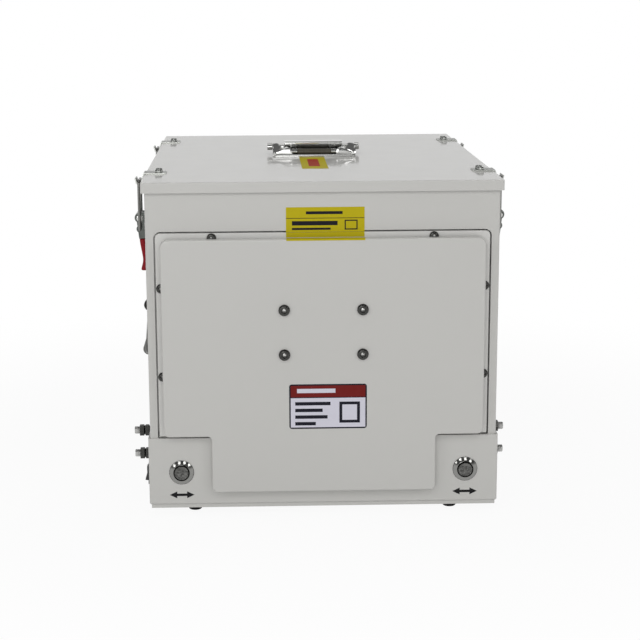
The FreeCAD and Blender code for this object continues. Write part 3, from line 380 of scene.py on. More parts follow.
@dataclass(frozen=True)
class Moulded(Finish):
    """Plastic, vinyl or rubber with a moulded grain and paler edges, partly rubbed and partly a painted highlight."""

    roughness: float = 0.45
    grain_scale: float = 1500.0
    grain_depth: float = 0.02 * MM
    contrast: float = 0.12
    coat: float = 0.0
    coat_roughness: float = 0.2
    gloss: float = 0.5

    def surface(self, graph: Graph) -> dict[str, object]:
        """Cloudy tone, moulded grain and paler edges, partly rubbed and partly a painted highlight.

        Args:
            graph: Node tree of the material.

        Returns:
            Inputs of the shader by name.
        """
        tone = 0.6 * graph.noise(45.0, 3.0) + 0.4 * graph.noise(700.0)
        colour = self.tones(graph, 1 - self.contrast, 1 + self.contrast, tone)
        # Paler rounded edges: partly rubbing, partly a painted highlight along them.
        rubbed_and_sheen = graph.edge() * graph.noise(180.0, 2.0).smooth(0.4, 0.65)
        return {
            "Base Color": graph.blend(colour, shade(self.colour, 1.5), 0.35 * rubbed_and_sheen),
            "Roughness": self.roughness * (0.85 + 0.3 * tone),
            "Specular IOR Level": self.gloss,
            "Coat Weight": self.coat,
            "Coat Roughness": self.coat_roughness,
            "Normal": graph.bump(graph.noise(self.grain_scale, 1.0), self.grain_depth),
        }


@dataclass(frozen=True)
class Porous(Finish):
    """Open-celled foam or sintered grains."""

    cell_scale: float = 900.0
    cell_depth: float = 0.3 * MM
    metallic: float = 0.0

    def surface(self, graph: Graph) -> dict[str, object]:
        """Pits between the cells with painted shade in them and painted light on the cell tops, and a dusty drift of
        tone.

        Args:
            graph: Node tree of the material.

        Returns:
            Inputs of the shader by name.
        """
        pits_and_shade = graph.cells(self.cell_scale)
        # Cell tops are painted lighter and the pits between them darker: painted light and shade.
        tone = 0.7 * pits_and_shade.smooth(0.1, 0.7) + 0.3 * graph.noise(60.0, 3.0)
        return {
            "Base Color": self.tones(graph, 1.35, 0.5, tone),
            "Metallic": self.metallic,
            "Roughness": 0.6 + 0.35 * tone,
            "Normal": graph.bump(1 - pits_and_shade, self.cell_depth),
        }


@dataclass(frozen=True)
class Knitted(Finish):
    """Conductive gasket cover, knitted from fine wire."""

    pitch: float = 1.1 * MM
    loop_depth: float = 0.25 * MM

    def surface(self, graph: Graph) -> dict[str, object]:
        """Two crossing rows of wire loops, with painted shade in the hollows between them.

        Args:
            graph: Node tree of the material.

        Returns:
            Inputs of the shader by name.
        """
        turns = graph.coords((math.tau / self.pitch, 1, math.tau / self.pitch))
        across = graph.axis(turns, "X")
        up = graph.axis(turns, "Z")
        weave_and_shade = 0.25 * ((across + up).wave() + (across - up).wave()) + 0.5
        return {
            # The hollows between the loops are painted darker: painted shade.
            "Base Color": self.tones(graph, 0.35, 1.0, weave_and_shade),
            "Metallic": 0.9,
            "Roughness": 0.55 - 0.2 * weave_and_shade,
            "Normal": graph.bump(weave_and_shade, self.loop_depth),
        }


@dataclass(frozen=True)
class Laminate(Finish):
    """Circuit board with copper tracks under a green mask."""

    pitch: float = 5.0 * MM
    track_depth: float = 0.05 * MM

    def surface(self, graph: Graph) -> dict[str, object]:
        """Straight tracks that change lanes from block to block.

        Args:
            graph: Node tree of the material.

        Returns:
            Inputs of the shader by name.
        """
        place = graph.coords((1 / self.pitch, 0.25 / self.pitch, 1 / self.pitch))
        lane = graph.add("ShaderNodeTexBrick", {}, {"Vector": place, "Scale": 1.0, "Mortar Size": 0.06}, out="Fac")
        return {
            "Base Color": self.tones(graph, 1.0, 2.2, lane),
            "Roughness": 0.35 + 0.1 * graph.noise(200.0),
            "Coat Weight": 0.4,
            "Normal": graph.bump(lane, self.track_depth),
        }


@dataclass(frozen=True)
class Area:
    """Plain rectangle of one colour on a printed film."""

    colour: Triple
    low: Place
    high: Place

    def inset(self, step: float, colour: Triple) -> "Area":
        """A smaller rectangle inside this one."""
        low = (self.low[0] + step, self.low[1] + step)
        return Area(colour, low, (self.high[0] - step, self.high[1] - step))


@dataclass(frozen=True)
class Sticker(Finish):
    """Printed film: a plain field with plain rectangles over it."""

    areas: tuple[Area, ...] = ()
    upright: bool = True
    gloss: float = 0.15
    relief: float = 0.01 * MM

    def surface(self, graph: Graph) -> dict[str, object]:
        """Field and rectangles by their places on the object.

        Args:
            graph: Node tree of the material.

        Returns:
            Inputs of the shader by name.
        """
        place = graph.coords()
        across = graph.axis(place, "X")
        up = graph.axis(place, "Z" if self.upright else "Y")
        fade = graph.noise(120.0, 3.0)
        ink = self.tones(graph, 0.94, 1.04, fade)
        for area in self.areas:
            inside = across.within(area.low[0], area.high[0]) * up.within(area.low[1], area.high[1])
            ink = graph.blend(ink, area.colour, inside * (0.985 + 0.015 * fade))
        return {
            "Base Color": ink,
            "Roughness": 0.44 + 0.1 * fade,
            "Specular IOR Level": self.gloss,
            "Normal": graph.bump(graph.noise(600.0), self.relief),
        }


ENAMEL = Enamel("off_white_enamel", (0.6, 0.595, 0.57))
# The cabinet's enamel painted lighter on the door plate: painted light on the band that the cover shades.
LIT_DOOR_ENAMEL = Enamel("door_enamel", (0.7, 0.695, 0.67))
PLATED_SHEET = Metal("plated_sheet", (0.6, 0.6, 0.58), roughness=0.36, spangle=0.35)
ALUMINIUM = Metal("bare_aluminium", (0.66, 0.66, 0.67), grain=Grain.ALONG_Y)
ROD_STEEL = Metal("ground_rod_steel", (0.62, 0.62, 0.62), roughness=0.16, grain=Grain.ALONG_Y)
ZINC = Metal("zinc_plate", (0.4, 0.41, 0.39), roughness=0.3, spangle=0.3, contrast=0.2)
PALE_ZINC = Metal("pale_zinc", (0.48, 0.49, 0.465), roughness=0.3, spangle=0.3, contrast=0.2)
# Its rounded edges are painted five times as bright: a painted glint, more than wear.
DARK_ZINC = Metal("dark_zinc", (0.1, 0.107, 0.1), roughness=0.2, spangle=0.25, contrast=0.3, wear_and_glint=5.0)
WIRE = Metal("drawn_wire", (0.2, 0.2, 0.19), roughness=0.25, grain=Grain.ALONG_Z)
CHROME = Metal("chrome_plate", (0.6, 0.6, 0.585), roughness=0.08, contrast=0.05, mark_depth=0.001 * MM)
HINGE_CHROME = Metal("hinge_chrome", (0.55, 0.55, 0.535), roughness=0.1, contrast=0.08)
HANDLE_STEEL = Metal("handle_steel", (0.1, 0.1, 0.095), roughness=0.3, grain=Grain.ALONG_Y, contrast=0.2)
DARK_LUG = Metal("blackened_steel", (0.03, 0.03, 0.028), roughness=0.35, contrast=0.25)
SCREW_STEEL = Metal("dark_screw_steel", (0.06, 0.06, 0.057), roughness=0.2, contrast=0.25)
# Bright cones in dark screw drives: a painted glint.
SOCKET_GLINT_STEEL = Metal("bright_socket_steel", (0.6, 0.6, 0.58), roughness=0.15)
BUTTON_STEEL = Metal("polished_button_steel", (0.25, 0.25, 0.24), roughness=0.12, contrast=0.12)
NICKEL = Metal("nickel_plate", (0.09, 0.09, 0.086), roughness=0.16, contrast=0.2)
COAX_NICKEL = Metal("coax_nickel", (0.06, 0.06, 0.057), roughness=0.3, contrast=0.2)
BRIGHT_NICKEL = Metal("bright_nickel", (0.5, 0.5, 0.49), roughness=0.45, contrast=0.1)
CONTACT_GOLD = Metal("contact_gold", (0.75, 0.55, 0.2), roughness=0.2)
FACED_STEEL = TurnedMetal(
    "faced_steel",
    (0.115, 0.115, 0.11),
    contrast=0.75,
    spangle=0.6,
    spangle_scale=620.0,
    mark_depth=0.02 * MM,
)
RED_VINYL = Moulded("red_vinyl", (0.27, 0.003, 0.01), roughness=0.5, gloss=0.25, grain_scale=900.0)
GRIP_RUBBER = Moulded("grip_rubber", (0.075, 0.068, 0.052), roughness=0.32, contrast=0.3)
GREY_RUBBER = Moulded("grey_rubber", (0.2, 0.2, 0.19), roughness=0.5, contrast=0.2)
FOOT_RUBBER = Moulded("foot_rubber", (0.008, 0.008, 0.008), roughness=0.7, contrast=0.3, gloss=0.15)
SEAL_RUBBER = Moulded("seal_rubber", (0.16, 0.16, 0.16), roughness=0.7)
MAT_RUBBER = Moulded("mat_rubber", (0.03, 0.12, 0.15), roughness=0.62, grain_scale=520.0, grain_depth=0.12 * MM)
BLACK_PLASTIC = Moulded("black_plastic", (0.025, 0.025, 0.026), roughness=0.4, contrast=0.25)
WHITE_PLASTIC = Moulded("white_plastic", (0.7, 0.69, 0.66), roughness=0.35)
BLUE_TUBE = Moulded("blue_tube", (0.03, 0.12, 0.42), roughness=0.25, coat=0.3)
INK = Moulded("black_ink", (0.008, 0.008, 0.009), roughness=0.5, gloss=0.15, grain_depth=0.004 * MM)
FOAM = Porous("absorber_foam", (0.03, 0.032, 0.04))
BRONZE = Porous("sintered_bronze", (0.36, 0.23, 0.09), cell_scale=1700.0, cell_depth=0.12 * MM, metallic=0.85)
YELLOW_PRINT: Triple = (0.54, 0.45, 0.006)
RED_PRINT: Triple = (0.17, 0.006, 0.004)
PATCH_PRINT: Triple = (0.42, 0.03, 0.01)
DARK_PRINT: Triple = (0.004, 0.004, 0.012)
PALE_PRINT: Triple = (0.72, 0.71, 0.8)
KNIT = Knitted("knitted_wire", (0.5, 0.5, 0.48))
BOARD = Laminate("board_laminate", (0.012, 0.09, 0.035))


class Outline(Enum):
    """Cross-section of a turned or pressed shape."""

    ROUND = "round"
    HEX = "hex"
    CROSS = "cross"

    def reach(self, size: float, turn: float) -> float:
        """Distance from the axis to the outline.

        Args:
            size: Radius, half the flats of a hexagon, or reach of a cross.
            turn: Angle about the axis.

        Returns:
            Distance at that angle.
        """
        if self is Outline.HEX:
            return size / math.cos((turn % (math.pi / 3)) - math.pi / 6)
        if self is Outline.CROSS:
            off_arm = abs((turn + math.pi / 4) % (math.pi / 2) - math.pi / 4)
            return min(size, CROSS_ARM * size / max(math.sin(off_arm), 0.01))
        return size


def aim(origin: Iterable[float], direction: Iterable[float]) -> Matrix:
    """Frame at a point whose Z axis runs along a direction."""
    turn = Vector(direction).to_track_quat("Z", "Y")
    return Matrix.Translation(Vector(origin)) @ turn.to_matrix().to_4x4()


def rounded(width: float, height: float, radius: float, steps: int = 6) -> Points:
    """Outline of a rounded rectangle about the origin.

    Args:
        width: Size along the first axis.
        height: Size along the second axis.
        radius: Radius of the corners.
        steps: Points on each corner arc, less one.

    Returns:
        Points in turn order.
    """
    points = []
    for corner, (right, top) in enumerate(((1, 1), (-1, 1), (-1, -1), (1, -1))):
        for step in range(steps + 1):
            turn = math.pi / 2 * (corner + step / steps)
            across = right * (width / 2 - radius) + radius * math.cos(turn)
            points.append((across, top * (height / 2 - radius) + radius * math.sin(turn)))
    return points


class Solid:
    """A mesh in the making."""

    def __init__(self, node: str = "") -> None:
        """Start empty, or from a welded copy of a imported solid.

        Args:
            node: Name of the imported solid, or nothing.
        """
        self.mesh = bmesh.new()
        self.copied = bool(node)
        if node:
            self.mesh.from_mesh(frame["nodes"][node].data)
            bmesh.ops.remove_doubles(self.mesh, verts=self.mesh.verts, dist=WELD)
            bmesh.ops.dissolve_limit(
                self.mesh, angle_limit=FLAT_ANGLE, verts=self.mesh.verts, edges=self.mesh.edges
            )

    def loft(self, sections: Sequence[Loop], closed: bool = False) -> "Solid":
        """Skin a row of loops with equal numbers of points.

        Args:
            sections: Loops in order.
            closed: True where the last loop meets the first; else both ends get a cap.

        Returns:
            This solid.
        """
        rows = [[self.mesh.verts.new(point) for point in section] for section in sections]
        pairs = list(zip(rows, rows[1:]))
        if closed:
            pairs.append((rows[-1], rows[0]))
        else:
            self.mesh.faces.new(rows[0])
            self.mesh.faces.new(rows[-1])
        for first, second in pairs:
            for index, vert in enumerate(first):
                after = (index + 1) % len(first)
                self.mesh.faces.new((vert, first[after], second[after], second[index]))
        return self

    def slab(self, outline: Loop, depth: Vector) -> "Solid":
        """Extrude a flat outline along a vector."""
        return self.loft([outline, [point + depth for point in outline]])

    def turned(self, profile: Profile | Points, place: Matrix, steps: int = 48) -> "Solid":
        """Turn a profile about the Z axis of a frame.

        Args:
            profile: (reach, height) points from axis to axis or round a ring, or a function from the angle to them.
            place: Frame of the axis.
            steps: Points around the axis.

        Returns:
            This solid.
        """
        rows = []
        for step in range(steps):
            turn = math.tau * step / steps
            row = []
            for reach, height in profile(turn) if callable(profile) else profile:
                point = Vector((reach * math.cos(turn), reach * math.sin(turn), height))
                row.append(self.mesh.verts.new(place @ point))
            rows.append(row)
        for first, second in zip(rows, rows[1:] + rows[:1]):
            for index in range(len(first) - 1):
                self.mesh.faces.new((first[index], second[index], second[index + 1], first[index + 1]))
        bmesh.ops.remove_doubles(self.mesh, verts=self.mesh.verts, dist=WELD)
        return self

    def soften(self, width: float, segments: int = 2) -> "Solid":
        """Round the sharp edges and mark the rounded faces.

        Args:
            width: Width of the rounding.
            segments: Faces across it.

        Returns:
            This solid.
        """
        sharp = [edge for edge in self.mesh.edges if edge.is_manifold and edge.calc_face_angle() > SMOOTH_ANGLE]
        made = bmesh.ops.bevel(
            self.mesh, geom=sharp, offset=width, segments=segments, profile=0.5, affect="EDGES", clamp_overlap=True
        )
        mark = self.mesh.loops.layers.float.new(EDGE_MARK)
        for face in made["faces"]:
            for loop in face.loops:
                loop[mark] = 1.0
        return self

    def baked(self, name: str) -> bpy.types.Mesh:
        """Plain mesh with outward faces and smooth shading.

        Args:
            name: Name of the mesh.

        Returns:
            The mesh; this solid is used up.
        """
        if not self.copied:
            bmesh.ops.recalc_face_normals(self.mesh, faces=self.mesh.faces)
        mesh = bpy.data.meshes.new(name)
        self.mesh.to_mesh(mesh)
        self.mesh.free()
        mesh.shade_smooth()
        mesh.set_sharp_from_angle(angle=SMOOTH_ANGLE)
        return mesh

    def corners(self) -> list[tuple[Vector, Vector]]:
        """Low and high corners of each separate solid, in order of their low corners.

        Returns:
            Pairs of low and high corners; this solid is used up.
        """
        left = set(self.mesh.verts)
        found = []
        while left:
            reached = [left.pop()]
            points = []
            while reached:
                vert = reached.pop()
                points.append(vert.co.copy())
                near = {edge.other_vert(vert) for edge in vert.link_edges} & left
                left -= near
                reached.extend(near)
            low = Vector(map(min, *points))
            found.append((low, Vector(map(max, *points))))
        self.mesh.free()
        return sorted(found, key=lambda pair: tuple(round(value, 5) for value in pair[0]))


@dataclass(frozen=True)
class Role:
    """Where a piece belongs: its body and the solids that it stands for; it also holds a material slot's name, which
    is not used.
    """

    body: str
    slot: str
    stands_for: tuple[str, ...] = ()

    def give(self, piece: bpy.types.Object) -> bpy.types.Object:
        """Attach a finished piece to the frame.

        Args:
            piece: Object at the origin with its place in its mesh.

        Returns:
            The same object.
        """
        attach(piece, self.body)
        if self.stands_for:
            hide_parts(*self.stands_for)
        LOG.info("%s rides on %s with %d faces", piece.name, self.body, len(piece.data.polygons))
        return piece


def linked(name: str, mesh: bpy.types.Mesh) -> bpy.types.Object:
    """New object at the origin of the scene.

    Args:
        name: Name of the object.
        mesh: Its mesh.

    Returns:
        The object.
    """
    piece = bpy.data.objects.new(name, mesh)
    bpy.context.scene.collection.objects.link(piece)
    return piece


def settle(piece: bpy.types.Object) -> bpy.types.Object:
    """Turn an object's modifiers into plain mesh.

    Args:
        piece: Object with live modifiers.

    Returns:
        The same object, with none.
    """
    graph = bpy.context.evaluated_depsgraph_get()
    mesh = bpy.data.meshes.new_from_object(piece.evaluated_get(graph), depsgraph=graph)
    mesh.name = piece.name
    piece.modifiers.clear()
    piece.data = mesh
    return piece


def show(name: str, solid: Solid, finish: Finish, role: Role, rounds: int = 0) -> bpy.types.Object:
    """Make a piece from a solid.

    Args:
        name: Name of the piece.
        solid: Its shape.
        finish: Its finish.
        role: Its place in the frame.
        rounds: Levels of subdivision for soft shapes.

    Returns:
        The finished piece.
    """
    mesh = solid.baked(name)
    mesh.materials.append(finish.material())
    piece = linked(name, mesh)
    if rounds:
        modifier = piece.modifiers.new("rounding", "SUBSURF")
        modifier.levels = rounds
        modifier.render_levels = rounds
    else:
        modifier = piece.modifiers.new("flat_faces", "WEIGHTED_NORMAL")
        modifier.keep_sharp = True
    return role.give(settle(piece))


def softened(node: str, finish: Finish, role: Role, width: float, segments: int = 2) -> bpy.types.Object:
    """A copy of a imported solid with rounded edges, which stands for it."""
    whole = Role(role.body, role.slot, (node,))
    return show(f"{node}_shape", Solid(node).soften(width, segments), finish, whole)


def dress(finish: Finish, *nodes: str) -> None:
    """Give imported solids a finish.

    Args:
        finish: Finish for them.
        nodes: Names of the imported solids.
    """
    for node in nodes:
        slots = frame["nodes"][node].data.materials
        slots.clear()
        slots.append(finish.material())
        LOG.info("%s keeps its packed shape in %s", node, finish.name)


def film(
    name: str, low: Place, high: Place, face: float, finish: Sticker, role: Role, radius: float = 0.3 * MM
) -> bpy.types.Object:
    """Thin printed film with rounded corners.

    Args:
        name: Name of the piece.
        low: Lower corner on the face.
        high: Upper corner on the face.
        face: Y of an upright face, or Z of a level one.
        finish: Its print, which says if it stands upright.
        role: Its place in the frame.
        radius: Radius of the corners.

    Returns:
        The finished piece.
    """
    centre = ((low[0] + high[0]) / 2, (low[1] + high[1]) / 2)
    outline = []
    for across, up in rounded(high[0] - low[0], high[1] - low[1], radius):
        x, v = centre[0] + across, centre[1] + up
        outline.append(Vector((x, face, v)) if finish.upright else Vector((x, v, face)))
    depth = Vector((0, -FILM, 0)) if finish.upright else Vector((0, 0, FILM))
    return show(name, Solid().slab(outline, depth), finish, role)


def joint_place(name: str) -> Vector:
    """Pivot of a hinge."""
    return Vector(next(joint for joint in frame["joints"] if joint["name"] == name)["pos_m"])


def mount_place(name: str) -> Vector:
    """Position of a mount."""
    return Vector(next(mount for mount in frame["record"]["mounts"] if mount["name"] == name)["pos_m"])


class Recipe:
    """A Geometry Nodes tree with named inputs, which ends as plain mesh with a finish."""

    def __init__(self, name: str, inputs: dict[str, str]) -> None:
        """Make the tree's inputs; a subclass adds its nodes and closes it.

        Args:
            name: Name of the tree.
            inputs: Socket types by label.
        """
        self.tree = bpy.data.node_groups.new(name, "GeometryNodeTree")
        self.graph = Graph(self.tree)
        self.keys: dict[str, str] = {}
        kinds = {"Geometry": "NodeSocketGeometry", **inputs, "Finish": "NodeSocketMaterial"}
        for label, kind in kinds.items():
            socket = self.tree.interface.new_socket(label, in_out="INPUT", socket_type=kind)
            self.keys[label] = socket.identifier
        self.tree.interface.new_socket("Geometry", in_out="OUTPUT", socket_type="NodeSocketGeometry")
        self.source = self.tree.nodes.new("NodeGroupInput")

    def given(self, label: str) -> Value:
        """Value of a named input."""
        return Value(self.graph, self.source.outputs[label])

    def close(self, geometry: Value) -> None:
        """End the tree in plain mesh with its finish.

        Args:
            geometry: What the tree has made so far.
        """
        real = self.graph.add("GeometryNodeRealizeInstances", {}, {"Geometry": geometry})
        sockets = {"Geometry": real, "Material": self.given("Finish")}
        done = self.graph.add("GeometryNodeSetMaterial", {}, sockets)
        self.graph.add("NodeGroupOutput", {}, {"Geometry": done})

    def run(self, name: str, mesh: bpy.types.Mesh, finish: Finish, **inputs: object) -> bpy.types.Object:
        """Evaluate the tree into a piece.

        Args:
            name: Name of the piece.
            mesh: Geometry that the tree starts from.
            finish: Finish of the result.
            inputs: Values of the named inputs, with underscores for spaces.

        Returns:
            Object with plain mesh.
        """
        piece = linked(name, mesh)
        modifier = piece.modifiers.new("recipe", "NODES")
        modifier.node_group = self.tree
        for label, value in inputs.items():
            modifier[self.keys[label.replace("_", " ").title()]] = value
        modifier[self.keys["Finish"]] = finish.material()
        settle(piece)
        piece.data.shade_smooth()
        piece.data.set_sharp_from_angle(angle=SMOOTH_ANGLE)
        return piece


class Scatter(Recipe):
    """Repeats a shape on given points, each copy turned by a random share of a spin."""

    def __init__(self) -> None:
        """Instance the shape on the points."""
        super().__init__(
            "scatter", {"Shape": "NodeSocketObject", "Spin": "NodeSocketVector", "Seed": "NodeSocketInt"}
        )
        graph = self.graph
        shape = graph.add("GeometryNodeObjectInfo", {}, {"Object": self.given("Shape")}, out="Geometry")
        chance = {0: (0, 0, 0), 1: self.given("Spin"), "Seed": self.given("Seed")}
        turn = graph.add("FunctionNodeRandomValue", {"data_type": "FLOAT_VECTOR"}, chance)
        rotation = graph.add("FunctionNodeEulerToRotation", {}, {"Euler": turn})
        sockets = {"Points": self.given("Geometry"), "Instance": shape, "Rotation": rotation}
        self.close(graph.add("GeometryNodeInstanceOnPoints", {}, sockets))

    def piece(
        self, name: str, solid: Solid, places: Sequence[Vector], finish: Finish, spin: Triple = (0, 0, 0)
    ) -> bpy.types.Object:
        """Copies of a solid on points.

        Args:
            name: Name of the piece.
            solid: Shape about the origin.
            places: Points for the copies.
            finish: Finish of the copies.
            spin: Largest turn about each axis.

        Returns:
            Object with plain mesh.
        """
        points = bpy.data.meshes.new(f"{name}_places")
        points.from_pydata([tuple(place) for place in places], [], [])
        shape = linked(f"{name}_shape", solid.baked(f"{name}_shape"))
        piece = self.run(name, points, finish, shape=shape, spin=spin, seed=len(places))
        bpy.data.objects.remove(shape)
        return piece


class Lattice(Recipe):
    """Repeats a shape on a two-way lattice."""

    def __init__(self) -> None:
        """Work out each point from its number and instance the shape there."""
        vector, whole = "NodeSocketVector", "NodeSocketInt"
        super().__init__(
            "lattice",
            {"Start": vector, "Step A": vector, "Step B": vector, "Count A": whole, "Count B": whole},
        )
        graph = self.graph
        number = graph.add("GeometryNodeInputIndex")
        place = self.given("Start")
        steps = (number % self.given("Count A"), (number / self.given("Count A")).floor())
        for label, count in zip(("Step A", "Step B"), steps):
            run = graph.add("ShaderNodeVectorMath", {"operation": "SCALE"}, {0: self.given(label), "Scale": count})
            place = graph.add("ShaderNodeVectorMath", {"operation": "ADD"}, {0: place, 1: run})
        total = self.given("Count A") * self.given("Count B")
        points = graph.add("GeometryNodePoints", {}, {"Count": total, "Position": place})
        sockets = {"Points": points, "Instance": self.given("Geometry")}
        self.close(graph.add("GeometryNodeInstanceOnPoints", {}, sockets))


class Thread(Recipe):
    """A screw thread: a ridge on a helix about the Z axis of a frame."""

    turn_steps = 24
    ridge_sides = 4

    def __init__(self) -> None:
        """Sweep a four-sided ridge along a spiral."""
        number, vector = "NodeSocketFloat", "NodeSocketVector"
        super().__init__(
            "thread",
            {"Radius": number, "Length": number, "Turns": number, "Ridge": number, "Place": vector, "Facing": vector},
        )
        graph = self.graph
        radius = self.given("Radius")
        sockets = {"Rotations": self.given("Turns"), "Start Radius": radius, "End Radius": radius}
        sockets |= {"Height": self.given("Length"), "Resolution": self.turn_steps}
        spiral = graph.add("GeometryNodeCurveSpiral", {}, sockets)
        sockets = {"Resolution": self.ridge_sides, "Radius": self.given("Ridge")}
        ridge = graph.add("GeometryNodeCurvePrimitiveCircle", {}, sockets)
        sweep = {"Curve": spiral, "Profile Curve": ridge, "Fill Caps": True}
        tube = graph.add("GeometryNodeCurveToMesh", {}, sweep)
        rotation = graph.add("FunctionNodeEulerToRotation", {}, {"Euler": self.given("Facing")})
        moved = {"Geometry": tube, "Translation": self.given("Place"), "Rotation": rotation}
        self.close(graph.add("GeometryNodeTransform", {}, moved))


class Sleeve(Recipe):
    """A ribbed sleeve with rounded ends."""

    rib_depth = 0.5 * MM
    stations = 241
    sides = 40
    end_round = 0.012
    end_share = 0.2

    def __init__(self) -> None:
        """Sweep a circle whose radius follows the ribs."""
        number, vector = "NodeSocketFloat", "NodeSocketVector"
        super().__init__(
            "sleeve", {"From": vector, "To": vector, "Radius": number, "Ribs": number, "Rib Depth": number}
        )
        graph = self.graph
        line = graph.add("GeometryNodeCurvePrimitiveLine", {}, {"Start": self.given("From"), "End": self.given("To")})
        fine = graph.add("GeometryNodeResampleCurve", {}, {"Curve": line, "Count": self.stations})
        along = graph.add("GeometryNodeSplineParameter", out="Factor")
        valley = 0.5 - 0.5 * (along * self.given("Ribs") * math.tau).wave()
        end = (along * (1 - along)).smooth(0.0, self.end_round)
        ribbed = self.given("Radius") - self.given("Rib Depth") * (1 - valley)
        radius = ribbed * (1 - self.end_share + self.end_share * end)
        circle = graph.add("GeometryNodeCurvePrimitiveCircle", {}, {"Resolution": self.sides, "Radius": 1.0})
        sweep = {"Curve": fine, "Profile Curve": circle, "Scale": radius, "Fill Caps": True}
        self.close(graph.add("GeometryNodeCurveToMesh", {}, sweep))

    def piece(
        self, name: str, centre: Vector, half: Vector, radius: float, ribs: int, finish: Finish
    ) -> bpy.types.Object:
        """A sleeve about a point.

        Args:
            name: Name of the piece.
            centre: Middle of the sleeve.
            half: Step from the middle to one end.
            radius: Radius over the ribs.
            ribs: Number of ribs.
            finish: Finish of the sleeve.

        Returns:
            Object with plain mesh.
        """
        ends = {"from": tuple(centre - half), "to": tuple(centre + half)}
        sizes = {"radius": radius, "ribs": float(ribs), "rib_depth": self.rib_depth}
        return self.run(name, bpy.data.meshes.new(name), finish, **ends, **sizes)


@dataclass(frozen=True)
class Workshop:
    """The recipes that the sub-assemblies share."""

    scatter: Scatter
    lattice: Lattice
    thread: Thread
    sleeve: Sleeve


def join(first: bpy.types.Object, *others: bpy.types.Object) -> bpy.types.Object:
    """Merge plain meshes with the same finish into the first object.

    Args:
        first: Object that stays.
        others: Objects that are taken up.

    Returns:
        The first object.
    """
    whole = bmesh.new()
    finish = first.data.polygons[0].material_index
    for piece in (first, *others):
        whole.from_mesh(piece.data)
    for face in whole.faces:
        face.material_index = finish
    whole.to_mesh(first.data)
    whole.free()
    for piece in others:
        bpy.data.objects.remove(piece)
    return first


@dataclass(frozen=True)
class Screw:
    """A dome-headed screw with a pressed drive."""

    radius: float
    height: float
    drive: Outline
    drive_size: float
    rim_share: float = 0.3
    flat_share: float = 0.62
    dome_steps: int = 5
    socket_share: float = 0.58
    cross_share: float = 0.8

    def head(self, facing: Triple) -> Solid:
        """The head on its seat, about the origin.

        Args:
            facing: Direction of the head.

        Returns:
            Shape of the head.
        """
        rim, flat = self.rim_share * self.height, self.flat_share * self.radius

        def profile(turn: float) -> Points:
            """Seat, rim, dome, drive and its floor.

            Args:
                turn: Angle about the axis.

            Returns:
                (reach, height) points from axis to axis.
            """
            points = [(0.0, 0.0), (0.94 * self.radius, 0.0), (self.radius, 0.12 * self.height)]
            for step in range(self.dome_steps + 1):
                rise = math.pi / 2 * step / self.dome_steps
                reach = flat + (self.radius - flat) * math.cos(rise)
                points.append((reach, rim + (self.height - rim) * math.sin(rise)))
            drive = self.drive.reach(self.drive_size, turn)
            points += [(1.06 * drive, self.height), (drive, 0.94 * self.height)]
            return points + [(0.94 * drive, 0.24 * self.height), (0.0, 0.16 * self.height)]

        return Solid().turned(profile, aim((0, 0, 0), facing))

    def socket(self, facing: Triple) -> Solid:
        """Cone on the floor of the drive, about the origin: by its finish a painted glint or painted shade there.

        Args:
            facing: Direction of the head.

        Returns:
            Shape of the cone.
        """
        reach = self.socket_share * self.drive_size * (self.cross_share if self.drive is Outline.CROSS else 1.0)
        outline = [(0, 0.2 * self.height), (reach, 0.2 * self.height), (reach, 0.4 * self.height)]
        outline += [(0.45 * reach, 0.46 * self.height), (0, 0.66 * self.height)]
        return Solid().turned(outline, aim((0, 0, 0), facing), 18)

    def places(self, node: str, facing: Triple) -> list[Vector]:
        """Seats of the screws of a node, from the far side of their heads.

        Args:
            node: Packed screws.
            facing: Direction of their heads.

        Returns:
            Points on the seats.
        """
        out = Vector(facing)
        found = []
        for low, high in Solid(node).corners():
            tip = Vector(h if o > 0 else l for l, h, o in zip(low, high, out))
            middle = (low + high) / 2
            found.append(Vector(t if o else m for t, m, o in zip(tip, middle, out)) - out * self.height)
        return found

    def fit(
        self, scatter: Scatter, title: str, node: str, facing: Triple, body: str, finishes: tuple[Finish, Finish]
    ) -> None:
        """Make the heads of a node's screws and the cones on the floors of their drives, which paint a glint or shade
        there.

        Args:
            scatter: Recipe that repeats them.
            title: Start of the pieces' names.
            node: Packed screws that the heads stand for.
            facing: Direction of the heads, along an axis.
            body: Body that they ride on.
            finishes: Finish of the heads and of the cones, a painted glint or painted shade.
        """
        places = self.places(node, facing)
        spin = tuple(math.tau * abs(way) for way in facing)
        heads = scatter.piece(f"{title}_heads", self.head(facing), places, finishes[0], spin)
        Role(body, "screw_steel", (node,)).give(heads)
        painted_drive_floors = scatter.piece(f"{title}_sockets", self.socket(facing), places, finishes[1])
        Role(body, "screw_steel").give(painted_drive_floors)


def nut_profile(flats: float, height: float, bore: float, ease: float = 0.95) -> Profile:
    """Profile of a chamfered hexagon nut on its seat.

    Args:
        flats: Width across the flats.
        height: Height of the nut.
        bore: Radius of what it sits on, which closes it towards the axis.
        ease: Radius of the chamfers' small ends as a share of half the flats.

    Returns:
        Function from the angle to the profile.
    """

    def profile(turn: float) -> Points:
        """Seat, chamfered side and top.

        Args:
            turn: Angle about the axis.

        Returns:
            (reach, height) points from axis to axis.
        """
        reach, small = Outline.HEX.reach(flats / 2, turn), ease * flats / 2
        drop = (reach - small) * math.tan(NUT_CHAMFER)
        side = [(small, 0.0), (reach, drop), (reach, height - drop), (small, height)]
        return [(0.0, 0.0), *side, (bore * 1.08, height), (bore, 0.92 * height), (0.0, 0.92 * height)]

    return profile


